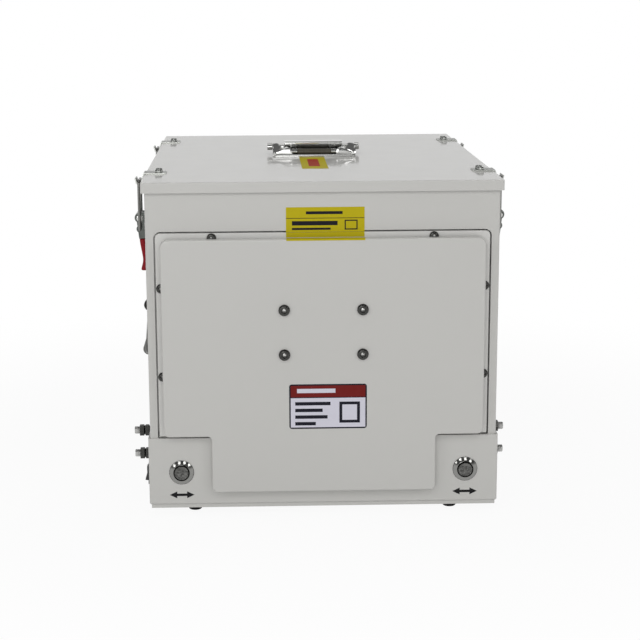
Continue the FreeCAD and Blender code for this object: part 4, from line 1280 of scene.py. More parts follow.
@dataclass
class Cabinet:
    """Cabinet, base tray, lid panel, feet, foam, plain stickers and button marks."""

    workshop: Workshop
    edge: float = 0.45 * MM
    foot_taper: float = 0.82
    foot_dish: float = 0.6 * MM
    foot_round: float = 0.8 * MM
    foot_lip: float = 0.2 * MM
    sticker_x: Place = (-37.0 * MM, 41.8 * MM)
    sticker_top: float = 322.4 * MM
    # Each bar in millimetres: from the left, top and right edges, and from the top to its lower edge.
    sticker_bars: tuple[tuple[float, ...], ...] = (
        (0, 10.8, 0, 11.4),
        (20, 4.2, 22, 7.2),
        (6, 14, 27, 18.4),
        (6, 20.8, 34, 23),
    )
    # Corners of the square, from the sticker's upper right corner.
    square_low: Place = (20 * MM, 23 * MM)
    square_high: Place = (7 * MM, 13 * MM)
    square_line: float = 1.2 * MM
    film_gap: float = 0.1 * MM
    cover_round: float = 1.5 * MM
    fold_run: float = 6.8 * MM
    fold_steps: int = 5
    lid_sticker_x: Place = (-17.3 * MM, 10.8 * MM)
    lid_sticker_y: Place = (-142 * MM, -30 * MM)
    # Margins of the patch at the sides, the near end and the far end.
    lid_patch: Triple = (8 * MM, 22 * MM, 20 * MM)
    mark_length: float = 25.5 * MM
    mark_height: float = 7.4 * MM
    mark_rise: float = 10.5 * MM
    mark_head: float = 0.3
    mark_shaft: float = 0.36
    foam_cell: float = 24 * MM
    foam_backing: float = 8 * MM
    foam_root: float = 1 * MM
    foam_tip: float = 0.03

    def build(self) -> None:
        """Make and dress everything that stays with the box."""
        role = Role("box", "white_enamel")
        dress(ENAMEL, "left_side_panel", "right_side_panel", "back_panel", "lid_panel")
        for node in ("base_shell", "front_frame", "bottom_plate"):
            softened(node, ENAMEL, role, self.edge)
        dress(PLATED_SHEET, "chamber_floor", "seal_flange")
        dress(SEAL_RUBBER, "lid_gasket")
        self.feet()
        self.front_sticker()
        self.lid_sticker()
        self.button_marks()
        self.foam()

    def feet(self) -> None:
        """Tapered rubber feet with a rounded sole."""
        boxes = Solid("rubber_feet").corners()
        top = (boxes[0][1].x - boxes[0][0].x) / 2
        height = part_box("bottom_plate")[0].z
        sole, dish = self.foot_taper * top, self.foot_dish
        outline = [(0, dish), (0.5 * sole, dish), (0.55 * sole, 0), (0.9 * sole, 0), (sole, self.foot_round)]
        outline += [(top - self.foot_lip, height - self.foot_round), (top, height), (0, height)]
        foot = Solid().turned(outline, Matrix.Identity(4))
        centres = [(low + high) / 2 for low, high in boxes]
        places = [Vector((centre.x, centre.y, 0)) for centre in centres]
        piece = self.workshop.scatter.piece("rubber_feet_shape", foot, places, FOOT_RUBBER)
        Role("box", "foot_rubber", ("rubber_feet",)).give(piece)

    def front_sticker(self) -> None:
        """Plain yellow sticker over the door, cut at the door's edges so that the drawer can leave."""
        cover_low, cover_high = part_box("drawer_cover")
        door_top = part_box("door_plate")[1].z
        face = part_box("front_frame")[0].y
        left, right = self.sticker_x
        top = self.sticker_top
        areas = [
            Area(DARK_PRINT, (left + start * MM, top - lower * MM), (right - end * MM, top - upper * MM))
            for start, upper, end, lower in self.sticker_bars
        ]
        low, high = ((right - across, top - down) for across, down in (self.square_low, self.square_high))
        square = Area(DARK_PRINT, low, high)
        areas += [square, square.inset(self.square_line, YELLOW_PRINT)]
        fixed, moving = Role("box", "white_enamel"), Role("drawer", "white_enamel")
        printed = Sticker("yellow_sticker_print", YELLOW_PRINT, tuple(areas))
        film("yellow_sticker_upper", (left, door_top + self.film_gap), (right, top), face, printed, fixed)
        low, high = cover_high.z + self.film_gap, door_top - self.film_gap
        film("yellow_sticker_lower", (left, low), (right, high), face, printed, moving)
        bend_y, bend_z = cover_low.y + self.cover_round, cover_high.z - self.cover_round
        profile: Loop = []
        for reach in (self.cover_round + FILM, self.cover_round):
            side = [Vector((left, bend_y + self.fold_run, bend_z + reach))]
            for step in range(self.fold_steps + 1):
                turn = math.pi / 2 * (1 + step / self.fold_steps)
                side.append(Vector((left, bend_y + reach * math.cos(turn), bend_z + reach * math.sin(turn))))
            profile = side + profile[::-1]
        plain = Sticker("yellow_sticker_fold_print", YELLOW_PRINT, upright=False)
        show("yellow_sticker_fold", Solid().slab(profile, Vector((right - left, 0, 0))), plain, moving)

    def lid_sticker(self) -> None:
        """Plain yellow sticker with a red patch on the lid."""
        (left, right), (near, far) = self.lid_sticker_x, self.lid_sticker_y
        side, front, back = self.lid_patch
        patch = Area(PATCH_PRINT, (left + side, near + front), (right - side, far - back))
        printed = Sticker("lid_sticker_print", YELLOW_PRINT, (patch,), upright=False, gloss=0.1)
        role = Role("box", "white_enamel")
        film("lid_sticker", (left, near), (right, far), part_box("lid_panel")[1].z, printed, role)

    def button_marks(self) -> None:
        """Plain double arrow under each push-button, for a drawer that goes out and in."""
        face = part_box("base_shell")[0].y
        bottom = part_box("base_shell")[0].z
        half, tall = self.mark_length / 2, self.mark_height / 2
        head, shaft = self.mark_head * self.mark_length, self.mark_shaft * tall
        arrow = [(half, 0), (half - head, tall), (half - head, shaft)]
        outline = arrow + [(-x, z) for x, z in arrow[::-1]]
        outline += [(-x, -z) for x, z in arrow[1:]] + [(x, -z) for x, z in arrow[:0:-1]]
        for side in SIDES:
            low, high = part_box(f"{side}_button_cap")
            centre = Vector(((low.x + high.x) / 2, face, bottom + self.mark_rise))
            points = [centre + Vector((x, 0, z)) for x, z in outline]
            solid = Solid().slab(points, Vector((0, -0.5 * FILM, 0)))
            show(f"{side}_button_mark", solid, INK, Role("box", "white_enamel"))

    def foam_panels(self) -> dict[str, tuple[Vector, Vector]]:
        """Box of each foam panel; those on the walls touch, so their boxes come from the box around them.

        Returns:
            Low and high corner of each panel by its name.
        """
        boxes = Solid("absorber_panels").corners()
        top = max(boxes, key=lambda box: box[0].z)
        walls = [box for box in boxes if box is not top]
        low = Vector([min(box[0][axis] for box in walls) for axis in range(3)])
        high = Vector([max(box[1][axis] for box in walls) for axis in range(3)])
        thick = top[1].z - top[0].z
        seam = high.y - thick
        return {
            "left": (low, Vector((low.x + thick, seam, high.z))),
            "right": (Vector((high.x - thick, low.y, low.z)), Vector((high.x, seam, high.z))),
            "rear": (Vector((low.x, seam, low.z)), high),
            "top": top,
        }

    def foam(self) -> None:
        """Pyramid absorber on each foam panel, pointing into the chamber."""
        low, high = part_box("absorber_panels")
        inside = (low + high) / 2
        for name, (low, high) in self.foam_panels().items():
            size = high - low
            thin = min(range(3), key=lambda axis: size[axis])
            wide, tall = (axis for axis in range(3) if axis != thin)
            inward = Vector((0, 0, 0))
            inward[thin] = math.copysign(1.0, inside[thin] - (low[thin] + high[thin]) / 2)
            counts = [max(1, round(size[axis] / self.foam_cell)) for axis in (wide, tall)]
            steps = [Vector((0, 0, 0)), Vector((0, 0, 0))]
            for step, axis, count in zip(steps, (wide, tall), counts):
                step[axis] = size[axis] / count
            seat = low.copy() if inward[thin] > 0 else low + Vector(size[a] if a == thin else 0 for a in range(3))
            start = seat + inward * self.foam_backing + steps[0] / 2 + steps[1] / 2
            ways = [a * steps[0] + b * steps[1] for a, b in ((-1, -1), (1, -1), (1, 1), (-1, 1))]
            base = [0.5 * way - inward * self.foam_root for way in ways]
            tip = [self.foam_tip * way + inward * (size[thin] - self.foam_backing) for way in ways]
            spike = Solid().loft([base, tip]).baked("foam_spike")
            piece = self.workshop.lattice.run(
                f"foam_{name}",
                spike,
                FOAM,
                start=tuple(start),
                step_a=tuple(steps[0]),
                step_b=tuple(steps[1]),
                count_a=counts[0],
                count_b=counts[1],
            )
            board = [seat, seat + size[wide] * steps[0].normalized()]
            board += [point + size[tall] * steps[1].normalized() for point in board[::-1]]
            backing = linked("backing", Solid().slab(board, inward * self.foam_backing).baked("backing"))
            Role("box", "absorber_foam", ("absorber_panels",)).give(join(piece, backing))


@dataclass
class Drawer:
    """Door plate, T-shaped cover, tray and slides."""

    workshop: Workshop
    edge: float = 0.3 * MM
    cover_screw: Screw = Screw(5.85 * MM, 3.3 * MM, Outline.HEX, 2.7 * MM)
    door_screw: Screw = Screw(4.8 * MM, 2.8 * MM, Outline.CROSS, 2.9 * MM)
    gasket_width: float = 17 * MM
    gasket_corner: float = 7 * MM
    gasket_dome: float = 0.6
    gasket_steps: int = 8
    sticker_low: Place = (-35.2 * MM, 96.4 * MM)
    sticker_high: Place = (43.8 * MM, 143.2 * MM)
    sticker_corner: float = 2.8 * MM
    border: float = 1.5 * MM
    header: float = 13.6 * MM
    header_line: float = 0.9 * MM
    # The pale bar in the header: from its left, lower, right and upper edges.
    header_bar: tuple[float, ...] = (8 * MM, 4.4 * MM, 32 * MM, 4.8 * MM)
    # The square's lower corner from the right and lower edges, its upper one from the right edge and the header.
    square_low: Place = (28 * MM, 6 * MM)
    square_high: Place = (7 * MM, 5 * MM)
    square_line: float = 3 * MM
    bars: tuple[float, ...] = (36 * MM, 28 * MM, 33 * MM, 21 * MM)
    bar_left: float = 6 * MM
    bar_drop: float = 5 * MM
    bar_pitch: float = 7 * MM
    bar_height: float = 3.6 * MM

    def build(self) -> None:
        """Make and dress everything that rides out."""
        dress(ENAMEL, "drawer_cover")
        dress(LIT_DOOR_ENAMEL, "door_plate")
        dress(PLATED_SHEET, "slide_outer_rails", "slide_middle_rails", "slide_inner_rails")
        dress(ROD_STEEL, "piston_rod", "rod_nut")
        softened("drawer_tray", PLATED_SHEET, Role("drawer", "plated_sheet"), self.edge)
        softened("tray_mat", MAT_RUBBER, Role("drawer", "tray_mat"), 2 * self.edge)
        self.screws()
        self.gasket()
        self.sticker()

    def screws(self) -> None:
        """Dark dome-headed screws in the cover and around the door plate, with a painted glint in each drive."""
        for node, screw in (("cover_screws", self.cover_screw), ("door_screws", self.door_screw)):
            # Bright cones in the drives are a painted glint.
            screw.fit(self.workshop.scatter, node, node, (0, -1, 0), "drawer", (SCREW_STEEL, SOCKET_GLINT_STEEL))

    def gasket(self) -> None:
        """Domed ring of knitted wire on the back of the door plate."""
        low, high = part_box("door_gasket")
        centre = (low + high) / 2
        width = 2 * self.gasket_width
        inner_x, inner_z = (high.x - low.x) - width, (high.z - low.z) - width
        outer = rounded(high.x - low.x, high.z - low.z, self.gasket_corner)
        inner = rounded(inner_x, inner_z, self.gasket_corner)
        rise = high.y - low.y
        sections = []
        for (x0, z0), (x1, z1) in zip(inner, outer):
            section = []
            for step in range(self.gasket_steps + 1):
                share = step / self.gasket_steps
                lift = rise * math.sin(math.pi * share) ** self.gasket_dome
                x, z = x0 + (x1 - x0) * share, z0 + (z1 - z0) * share
                section.append(Vector((centre.x + x, low.y + lift, centre.z + z)))
            sections.append(section)
        role = Role("drawer", "seal_rubber", ("door_gasket",))
        show("door_gasket_shape", Solid().loft(sections, closed=True), KNIT, role)

    def sticker(self) -> None:
        """White sticker with a dark red band, plain bars and a square on the cover."""
        (left, bottom), (right, top) = self.sticker_low, self.sticker_high
        border = Area(DARK_PRINT, self.sticker_low, self.sticker_high)
        field = border.inset(self.border, PALE_PRINT)
        band = top - self.header
        low = (right - self.square_low[0], bottom + self.square_low[1])
        square = Area(DARK_PRINT, low, (right - self.square_high[0], band - self.square_high[1]))
        areas = [border, field, Area(RED_PRINT, (field.low[0], band), field.high)]
        areas.append(Area(DARK_PRINT, (left, band - self.header_line), (right, band)))
        areas += [square, square.inset(self.square_line, PALE_PRINT)]
        start, lower, end, upper = self.header_bar
        areas.append(Area(PALE_PRINT, (left + start, band + lower), (right - end, top - upper)))
        for row, length in enumerate(self.bars):
            start, upper = left + self.bar_left, band - self.bar_drop - self.bar_pitch * row
            areas.append(Area(DARK_PRINT, (start, upper - self.bar_height), (start + length, upper)))
        printed = Sticker("white_sticker_print", PALE_PRINT, tuple(areas))
        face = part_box("drawer_cover")[0].y
        role = Role("drawer", "white_enamel")
        film("white_sticker", self.sticker_low, self.sticker_high, face, printed, role, self.sticker_corner)


@dataclass
class Buttons:
    """Stainless push-buttons with polished bezels and faced caps."""

    bezel_radius: float = 12.4 * MM
    bezel_height: float = 3.0 * MM
    bore_radius: float = 8.5 * MM
    barrel_radius: float = 10.9 * MM
    barrel_length: float = 24 * MM
    nut_flats: float = 27 * MM
    nut_height: float = 4 * MM
    bore_spare: float = 3 * MM
    cap_gap: float = 0.7 * MM
    # Broken edge and dish of the cap: shares of its radius and depths below its top.
    cap_top: tuple[Place, ...] = ((1, 1.2 * MM), (0.91, 0.1 * MM), (0.89, 0), (0.84, 0.04 * MM), (0.5, 0.22 * MM))
    cap_dish: float = 0.3 * MM
    steps: int = 96
    sheet: float = 2 * MM
    seal_radius: float = 12.7 * MM
    seal_height: float = 0.6 * MM

    def build(self) -> None:
        """Housing, seal, nut and cap on both sides."""
        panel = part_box("base_shell")[0].y
        inner, outer, height = self.barrel_radius, self.seal_radius, self.seal_height
        seal = [(inner, 0), (outer, 0), (outer, height), (inner, height), (inner, 0)]
        housings, seals, nuts = Solid(), Solid(), Solid()
        for side in SIDES:
            low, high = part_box(f"{side}_button_cap")
            centre = Vector(((low.x + high.x) / 2, panel, (low.z + high.z) / 2))
            housing = self.housing(high.y - panel + self.bore_spare)
            housings.turned(housing, aim(centre, (0, -1, 0)), self.steps)
            seals.turned(seal, aim(centre, (0, -1, 0)), self.steps)
            seat = centre + Vector((0, self.sheet, 0))
            nuts.turned(nut_profile(self.nut_flats, self.nut_height, self.barrel_radius), aim(seat, (0, 1, 0)))
            finish = replace(FACED_STEEL, name=f"{side}_faced_steel", centre=(centre.x, centre.z))
            place = aim((centre.x, high.y, centre.z), (0, -1, 0))
            cap = Solid().turned(self.cap(high.y - low.y), place, self.steps)
            role = Role(f"{side}_button", "button_steel", (f"{side}_button_cap",))
            show(f"{side}_button_cap_shape", cap, finish, role)
        show("button_bezels", housings, BUTTON_STEEL, Role("box", "button_steel", ("button_housings",)))
        show("button_seals", seals, BLACK_PLASTIC, Role("box", "black_plastic"))
        show("button_nuts", nuts, NICKEL, Role("box", "nickel_plate", ("panel_nuts",)))

    def housing(self, depth: float) -> Points:
        """Barrel behind the panel, rounded bezel and bore down to a depth behind the panel.

        Args:
            depth: Depth of the bore.

        Returns:
            (reach, height) points from axis to axis.
        """
        top, rim, barrel, end = self.bezel_height, self.bezel_radius, self.barrel_radius, -self.barrel_length
        points = [(0, end), (barrel, end), (barrel, 0), (rim, 0)]
        points += [(rim, 0.26 * top), (0.975 * rim, 0.32 * top), (0.85 * rim, 0.69 * top)]
        points += [(0.71 * rim, 0.98 * top), (0.69 * rim, top), (self.bore_radius, 0.96 * top)]
        return points + [(self.bore_radius, -depth), (0, -depth)]

    def cap(self, length: float) -> Points:
        """Cap with a broken edge and a shallow dish, from its back face.

        Args:
            length: Length of the cap.

        Returns:
            (reach, height) points from axis to axis.
        """
        radius = self.bore_radius - self.cap_gap
        top = [(share * radius, length - depth) for share, depth in self.cap_top]
        return [(0, 0), (radius, 0), *top, (0, length - self.cap_dish)]


@dataclass
class SideSockets:
    """Coaxial sockets through the side walls: nuts, hexagon, threaded tip and contact."""

    workshop: Workshop
    wall: float = 2 * MM
    inner_length: float = 10 * MM
    thread_radius: float = 3.6 * MM
    nut_flats: float = 11 * MM
    nut_height: float = 5.4 * MM
    nut_count: int = 2
    nut_turn: float = math.radians(30)
    ease: float = 0.82
    chamfer: float = 0.8 * MM
    hex_flats: float = 11 * MM
    hex_height: float = 5.4 * MM
    tip_radius: float = 4.1 * MM
    tip_length: float = 5.5 * MM
    tip_edge: float = 0.3 * MM
    # Radius and length of the plugs in the tip, as shares of its own.
    insulator: Place = (0.62, 0.5)
    contact: Place = (0.16, 0.8)
    ridge: float = 0.25 * MM
    thread_turns: float = 5.0

    def build(self) -> None:
        """Four sockets in pieces by finish."""
        nuts, bodies, tips, cores, contacts = Solid(), Solid(), Solid(), Solid(), Solid()
        threads = []
        for height in ("upper", "lower"):
            for side, sign in SIDES.items():
                middle = mount_place(f"coax_{height}_{side}")
                out = Vector((sign, 0, 0))
                tip_seat = middle - out * self.tip_length / 2
                wall_face = tip_seat - out * (self.nut_count * self.nut_height + self.hex_height)
                for number in range(self.nut_count):
                    seat = wall_face + out * (number * self.nut_height)
                    profile = nut_profile(self.nut_flats, self.nut_height, self.thread_radius, self.ease)
                    turn = Matrix.Rotation(self.nut_turn * (1 - number), 4, "Z")
                    nuts.turned(profile, aim(seat, out) @ turn)
                bodies.turned(self.body, aim(wall_face, out))
                tips.turned(self.tip(), aim(tip_seat, out))
                cores.turned(self.plug(*self.insulator), aim(tip_seat, out))
                contacts.turned(self.plug(*self.contact), aim(tip_seat, out))
                threads.append(self.thread(f"thread_{height}_{side}", tip_seat, sign))
        role = Role("box", "nickel_plate")
        show("coax_nuts", nuts, COAX_NICKEL, Role("box", "nickel_plate", ("panel_nuts",)))
        show("coax_bodies", bodies, COAX_NICKEL, Role("box", "nickel_plate", ("coax_connectors",)))
        show("coax_tips", tips, BRIGHT_NICKEL, role)
        show("coax_insulators", cores, WHITE_PLASTIC, role)
        show("coax_contacts", contacts, CONTACT_GOLD, role)
        thread = join(*threads)
        thread.name = "coax_threads"
        role.give(thread)

    def body(self, turn: float) -> Points:
        """Inner thread and flange, the stem through the wall and the outer hexagon.

        Args:
            turn: Angle about the axis.

        Returns:
            (reach, height) points from axis to axis.
        """
        reach = Outline.HEX.reach(self.hex_flats / 2, turn)
        ease, drop = self.ease * self.hex_flats / 2, self.chamfer
        inside = -self.wall
        flange = inside - self.nut_height
        start = self.nut_count * self.nut_height
        end = start + self.hex_height
        points = [(0, inside - self.inner_length), (self.thread_radius, inside - self.inner_length)]
        points += [(self.thread_radius, flange), (ease, flange), (reach, flange + drop)]
        points += [(reach, inside), (self.thread_radius, inside), (self.thread_radius, start), (ease, start)]
        points += [(reach, start + drop), (reach, end - 0.3 * drop), (0.96 * reach, end), (0, end)]
        return points

    def tip(self) -> Points:
        """Hollow tip under the thread.

        Returns:
            (reach, height) points from axis to axis.
        """
        outer, end, edge = self.tip_radius - self.ridge, self.tip_length, self.tip_edge
        bore, floor = 0.7 * outer, 0.2 * end
        points = [(0, 0), (outer, 0), (outer, end - edge), (outer - edge, end)]
        return points + [(bore, end), (bore, floor), (0, floor)]

    def plug(self, radius: float, height: float) -> Points:
        """Round plug in the tip, as shares of the tip's radius and length."""
        reach, top = radius * (self.tip_radius - self.ridge), height * self.tip_length
        return [(0, 0.1 * top), (reach, 0.1 * top), (reach, 0.95 * top), (0.85 * reach, top), (0, top)]

    def thread(self, name: str, seat: Vector, sign: int) -> bpy.types.Object:
        """Helical thread on one tip.

        Args:
            name: Name of the object.
            seat: Foot of the tip.
            sign: Side of the box.

        Returns:
            Object with plain mesh.
        """
        spare = 2 * self.ridge
        return self.workshop.thread.run(
            name,
            bpy.data.meshes.new(name),
            BRIGHT_NICKEL,
            radius=self.tip_radius - self.ridge,
            length=self.tip_length - 2 * spare,
            turns=self.thread_turns,
            ridge=self.ridge,
            place=tuple(seat + Vector((sign * spare, 0, 0))),
            facing=(0, sign * math.pi / 2, 0),
        )


@dataclass
class Latches:
    """Four toggle latches with vinyl grips, and the keepers on the lid."""

    workshop: Workshop
    edge: float = 0.5 * MM
    keeper_edge: float = 0.3 * MM
    base_edge: float = 0.4 * MM
    keeper_screw: Screw = Screw(3.8 * MM, 3.1 * MM, Outline.CROSS, 2.6 * MM)
    grip_half_width: float = 7 * MM
    grip_round: float = 0.42
    grip_swell: float = 1.06
    # Sections of the grip: drop, lean and thickness in millimetres, and share of the width.
    grip_stations: tuple[tuple[float, ...], ...] = (
        (22.3, 1.9, 5.4, 0.86),
        (23.0, 2.0, 6.9, 1.0),
        (30.0, 2.8, 6.4, 1.0),
        (39.0, 3.9, 5.3, 0.94),
        (45.5, 4.6, 4.8, 0.92),
        (51.0, 3.8, 5.8, 1.0),
        (55.0, 3.1, 6.9, 1.02),
        (56.7, 2.8, 5.6, 0.9),
    )
    pin_reach: float = 11.5 * MM
    pin_end_radius: float = 3.4 * MM
    pin_end_height: float = 1.1 * MM

    def build(self) -> None:
        """Keepers, bases, levers, bails and grips."""
        plate = Role("box", "zinc_plate")
        softened("lid_keepers", PALE_ZINC, plate, self.keeper_edge)
        softened("latch_bases", DARK_ZINC, plate, self.base_edge)
        # Blackened cones on the floors of the keeper screws' drives are painted shade.
        finishes = (ZINC, DARK_LUG)
        self.keeper_screw.fit(self.workshop.scatter, "keeper_screw", "keeper_screws", (0, 0, 1), "box", finishes)
        self.pin_ends()
        for end in ENDS:
            for side, sign in SIDES.items():
                latch = f"{end}_{side}_latch"
                body = f"{end}_{side}_lever"
                dress(WIRE, f"{latch}_bail")
                softened(f"{latch}_lever", DARK_ZINC, Role(body, "zinc_plate"), self.edge)
                grip = self.grip(joint_place(latch), sign)
                show(f"{latch}_grip_shape", grip, RED_VINYL, Role(body, "red_vinyl", (f"{latch}_grip",)), rounds=2)

    def pin_ends(self) -> None:
        """Bright domed ends of the pivot pins."""
        radius, height = self.pin_end_radius, self.pin_end_height
        dome = [(0, 0), (radius, 0), (radius, 0.3 * height), (0.75 * radius, 0.8 * height)]
        dome += [(0.35 * radius, height), (0, height)]
        pivots = [joint_place(f"{end}_{side}_latch") for end in ENDS for side in SIDES]
        for label, sign in ENDS.items():
            out = Vector((0, sign, 0))
            solid = Solid().turned(dome, aim((0, 0, 0), out), 32)
            places = [pivot + out * self.pin_reach for pivot in pivots]
            piece = self.workshop.scatter.piece(f"latch_pins_{label}", solid, places, CHROME)
            Role("box", "zinc_plate").give(piece)

    def grip(self, pivot: Vector, sign: int) -> Solid:
        """Waisted sleeve with a flared, rounded end.

        Args:
            pivot: Axis of the lever.
            sign: Side of the box.

        Returns:
            Cage of the sleeve, for subdivision.
        """
        sections = []
        for drop, lean, thick, share in self.grip_stations:
            centre = pivot + Vector((-sign * lean * MM, 0, -drop * MM))
            width = 2 * share * self.grip_half_width
            outline = rounded(thick * MM * self.grip_swell, width, self.grip_round * thick * MM, 2)
            sections.append([centre + Vector((x, y, 0)) for x, y in outline])
        return Solid().loft(sections)


@dataclass
class TopHandle:
    """Folding handle on the lid: plate with a hinge bar, creased arms and a ribbed grip."""

    workshop: Workshop
    edge: float = 0.4 * MM
    rim: float = 0.35 * MM
    arm_rows: int = 24
    arm_columns: int = 16
    arm_round: float = 0.05
    arm_edge: float = 0.25 * MM
    crease: float = 4.3 * MM
    # The crease along the arm: its start, its run across the arm and its half width, as shares of the length.
    crease_path: Triple = (0.12, 0.76, 0.52)
    press: float = 1.4
    arm_rear: float = 34 * MM
    arm_front: float = 25 * MM
    arm_outer: float = 47 * MM
    arm_height: float = 7 * MM
    flare: float = 14 * MM
    reach: float = 34 * MM
    tip: float = 2.5 * MM
    grip_radius: float = 3.7 * MM
    grip_ribs: int = 15
    rest_angle: float = 4.5
    ferrule_width: float = 6 * MM
    ferrule_rings: int = 4
    plate: float = 1.5 * MM
    lip_width: float = 2.2 * MM
    lip_height: float = 1.4 * MM
    lip_half: float = 43 * MM
    lip_inset: float = 0.3 * MM
    lip_root: float = 0.5 * MM
    lip_steps: int = 16

    def build(self) -> None:
        """Make the handle's pieces, leaning down to where it rests."""
        softened("top_handle_plate", HINGE_CHROME, Role("box", "chrome_plate"), self.edge, 3)
        turn = Matrix.Rotation(math.radians(self.rest_angle), 4, "X")
        lean = Matrix.Translation(joint_place("top_handle_lift")) @ turn
        arms = Solid()
        for sign in (-1, 1):
            arms.loft([[lean @ point for point in loop] for loop in self.arm(sign)])
        show("top_handle_arms", arms, CHROME, Role("top_handle", "chrome_plate", ("top_handle_bail",)))
        self.grip(lean @ Vector((0, -self.reach, 0)))
        self.lip()

    def lip(self) -> None:
        """Half-round bead along the plate's front edge."""
        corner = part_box("top_handle_plate")[0]
        middle = corner.y + self.lip_width / 2 + self.lip_inset
        outline = []
        for step in range(self.lip_steps):
            turn = math.tau * step / self.lip_steps
            along, up = self.lip_width / 2 * math.cos(turn), max(self.lip_height * math.sin(turn), -self.lip_root)
            outline.append(Vector((-self.lip_half, middle + along, corner.z + self.plate + up)))
        bead = Solid().slab(outline, Vector((2 * self.lip_half, 0, 0)))
        show("top_handle_lip", bead, HINGE_CHROME, Role("box", "chrome_plate"))

    def arm(self, sign: int) -> list[Loop]:
        """Sections of one level arm from its hinge to its tip, with a slanting crease pressed into the top.

        Args:
            sign: Side of the middle.

        Returns:
            Loops across X, with the hinge at the origin.
        """
        rows, columns = self.arm_rows, self.arm_columns
        heel, tip = self.arm_height / 2, -self.reach - self.tip
        crease_start, crease_run, crease_half = self.crease_path
        sections = []
        for row in range(rows + 1):
            share = row / rows
            y = heel + (tip - heel) * share
            spread = max(0.0, (-y - self.flare) / (-tip - self.flare))
            inner = self.arm_rear + (self.arm_front - self.arm_rear) * spread
            fall = 1 - max(0.0, 1 - min(share, 1 - share) / self.arm_round) ** 2
            half = self.arm_height / 2 * math.sqrt(max(fall, 0.1))
            under = half if share < 0.5 else self.arm_height / 2
            top = 2 * half - under
            loop = []
            for column in range(columns + 1):
                across = column / columns
                x = inner + (self.arm_outer - inner) * across
                edge = min(across, 1 - across) * (self.arm_outer - inner)
                press = min(1.0, max(0.0, (edge - self.rim) / (self.press * self.rim))) * fall
                valley = max(0.0, 1 - abs(share - crease_start - crease_run * across) / crease_half)
                ease = self.arm_edge if column in (0, columns) else 0.0
                loop.append(Vector((sign * x, y, top - ease - self.crease * valley * press)))
            loop += [Vector((sign * self.arm_outer, y, -under)), Vector((sign * inner, y, -under))]
            sections.append(loop)
        return sections

    def grip(self, centre: Vector) -> None:
        """Ribbed rubber sleeve between two ringed ferrules.

        Args:
            centre: Middle of the grip.
        """
        half = Vector((self.arm_front - self.ferrule_width, 0, 0))
        sleeve = self.workshop.sleeve.piece(
            "top_handle_sleeve", centre, half, self.grip_radius, self.grip_ribs, GRIP_RUBBER
        )
        Role("top_handle", "grip_rubber", ("top_handle_grip",)).give(sleeve)
        pitch, radius = self.ferrule_width / self.ferrule_rings, self.grip_radius
        ring = [(0, -0.5 * pitch), (0.8 * radius, -0.5 * pitch), (0.96 * radius, -0.25 * pitch), (radius, 0)]
        ring += [(reach, -height) for reach, height in ring[-2::-1]]
        solid = Solid().turned(ring, aim((0, 0, 0), (1, 0, 0)), 40)
        places = []
        for sign in (-1, 1):
            for index in range(self.ferrule_rings):
                places.append(centre + Vector((sign * (self.arm_front - pitch * (index + 0.5)), 0, 0)))
        ferrules = self.workshop.scatter.piece("top_handle_ferrules", solid, places, CHROME)
        Role("top_handle", "chrome_plate").give(ferrules)


@dataclass
class SideHandles:
    """Drop handles on the sides: dark rods with grey ribbed sleeves on blackened lugs."""

    workshop: Workshop
    drop: float = 57 * MM
    tilt: float = 4.5
    sleeve_half: float = 31 * MM
    sleeve_radius: float = 6.6 * MM
    sleeve_ribs: int = 16
    edge: float = 0.5 * MM

    def build(self) -> None:
        """Dress the lugs and rods and push a sleeve on each rod."""
        softened("side_handle_plates", DARK_LUG, Role("box", "zinc_plate"), self.edge)
        dress(HANDLE_STEEL, "left_handle_bail", "right_handle_bail")
        lean = math.radians(self.tilt)
        for side, sign in SIDES.items():
            hang = Vector((sign * math.sin(lean), 0, -math.cos(lean)))
            centre = joint_place(f"{side}_handle_swing") + self.drop * hang
            half = Vector((0, self.sleeve_half, 0))
            sleeve = self.workshop.sleeve.piece(
                f"{side}_handle_sleeve", centre, half, self.sleeve_radius, self.sleeve_ribs, GREY_RUBBER
            )
            Role(f"{side}_handle", "grip_rubber").give(sleeve)


@dataclass
class Fittings:
    """Switch, inlets and what the base holds."""

    edge: float = 0.5 * MM
    mark: float = 2.3 * MM
    ring_steps: int = 32

    def build(self) -> None:
        """Dress the remaining nodes."""
        softened("switch_housing", BLACK_PLASTIC, Role("box", "black_plastic"), self.edge)
        softened("power_rocker", BLACK_PLASTIC, Role("switch_rocker", "black_plastic"), self.edge)
        self.rocker_marks()
        softened("power_inlet", BLACK_PLASTIC, Role("box", "black_plastic"), self.edge)
        softened("air_inlet_fitting", BRIGHT_NICKEL, Role("box", "nickel_plate"), self.edge)
        softened("exhaust_silencer", BRONZE, Role("box", "sintered_bronze"), self.edge)
        softened("solenoid_valve", ALUMINIUM, Role("box", "bare_aluminium"), self.edge)
        dress(ALUMINIUM, "cylinder_barrel", "cylinder_caps")
        dress(BLUE_TUBE, "air_tubes")
        dress(BOARD, "control_board")

    def rocker_marks(self) -> None:
        """White stroke and ring on the two faces of the rocker."""
        rocker = Solid("power_rocker")
        faces = [face for face in rocker.mesh.faces if face.normal.x < -0.9]
        faces.sort(key=lambda face: face.calc_center_median().z)
        ring_place, bar_place = (aim(face.calc_center_median(), face.normal) for face in faces)
        rocker.mesh.free()
        marks = Solid()
        rise = Vector((0, 0, FILM))
        bar = [Vector((x, y, 0)) for x, y in rounded(0.4 * self.mark, 2 * self.mark, 0.1 * self.mark)]
        marks.loft([[bar_place @ point for point in bar], [bar_place @ (point + rise) for point in bar]])
        sections = []
        for step in range(self.ring_steps):
            turn = math.tau * step / self.ring_steps
            out = Vector((math.cos(turn), math.sin(turn), 0))
            inner, outer = 0.66 * self.mark * out, self.mark * out
            sections.append([ring_place @ point for point in (inner, outer, outer + rise, inner + rise)])
        marks.loft(sections, closed=True)
        show("rocker_marks", marks, WHITE_PLASTIC, Role("switch_rocker", "black_plastic"))


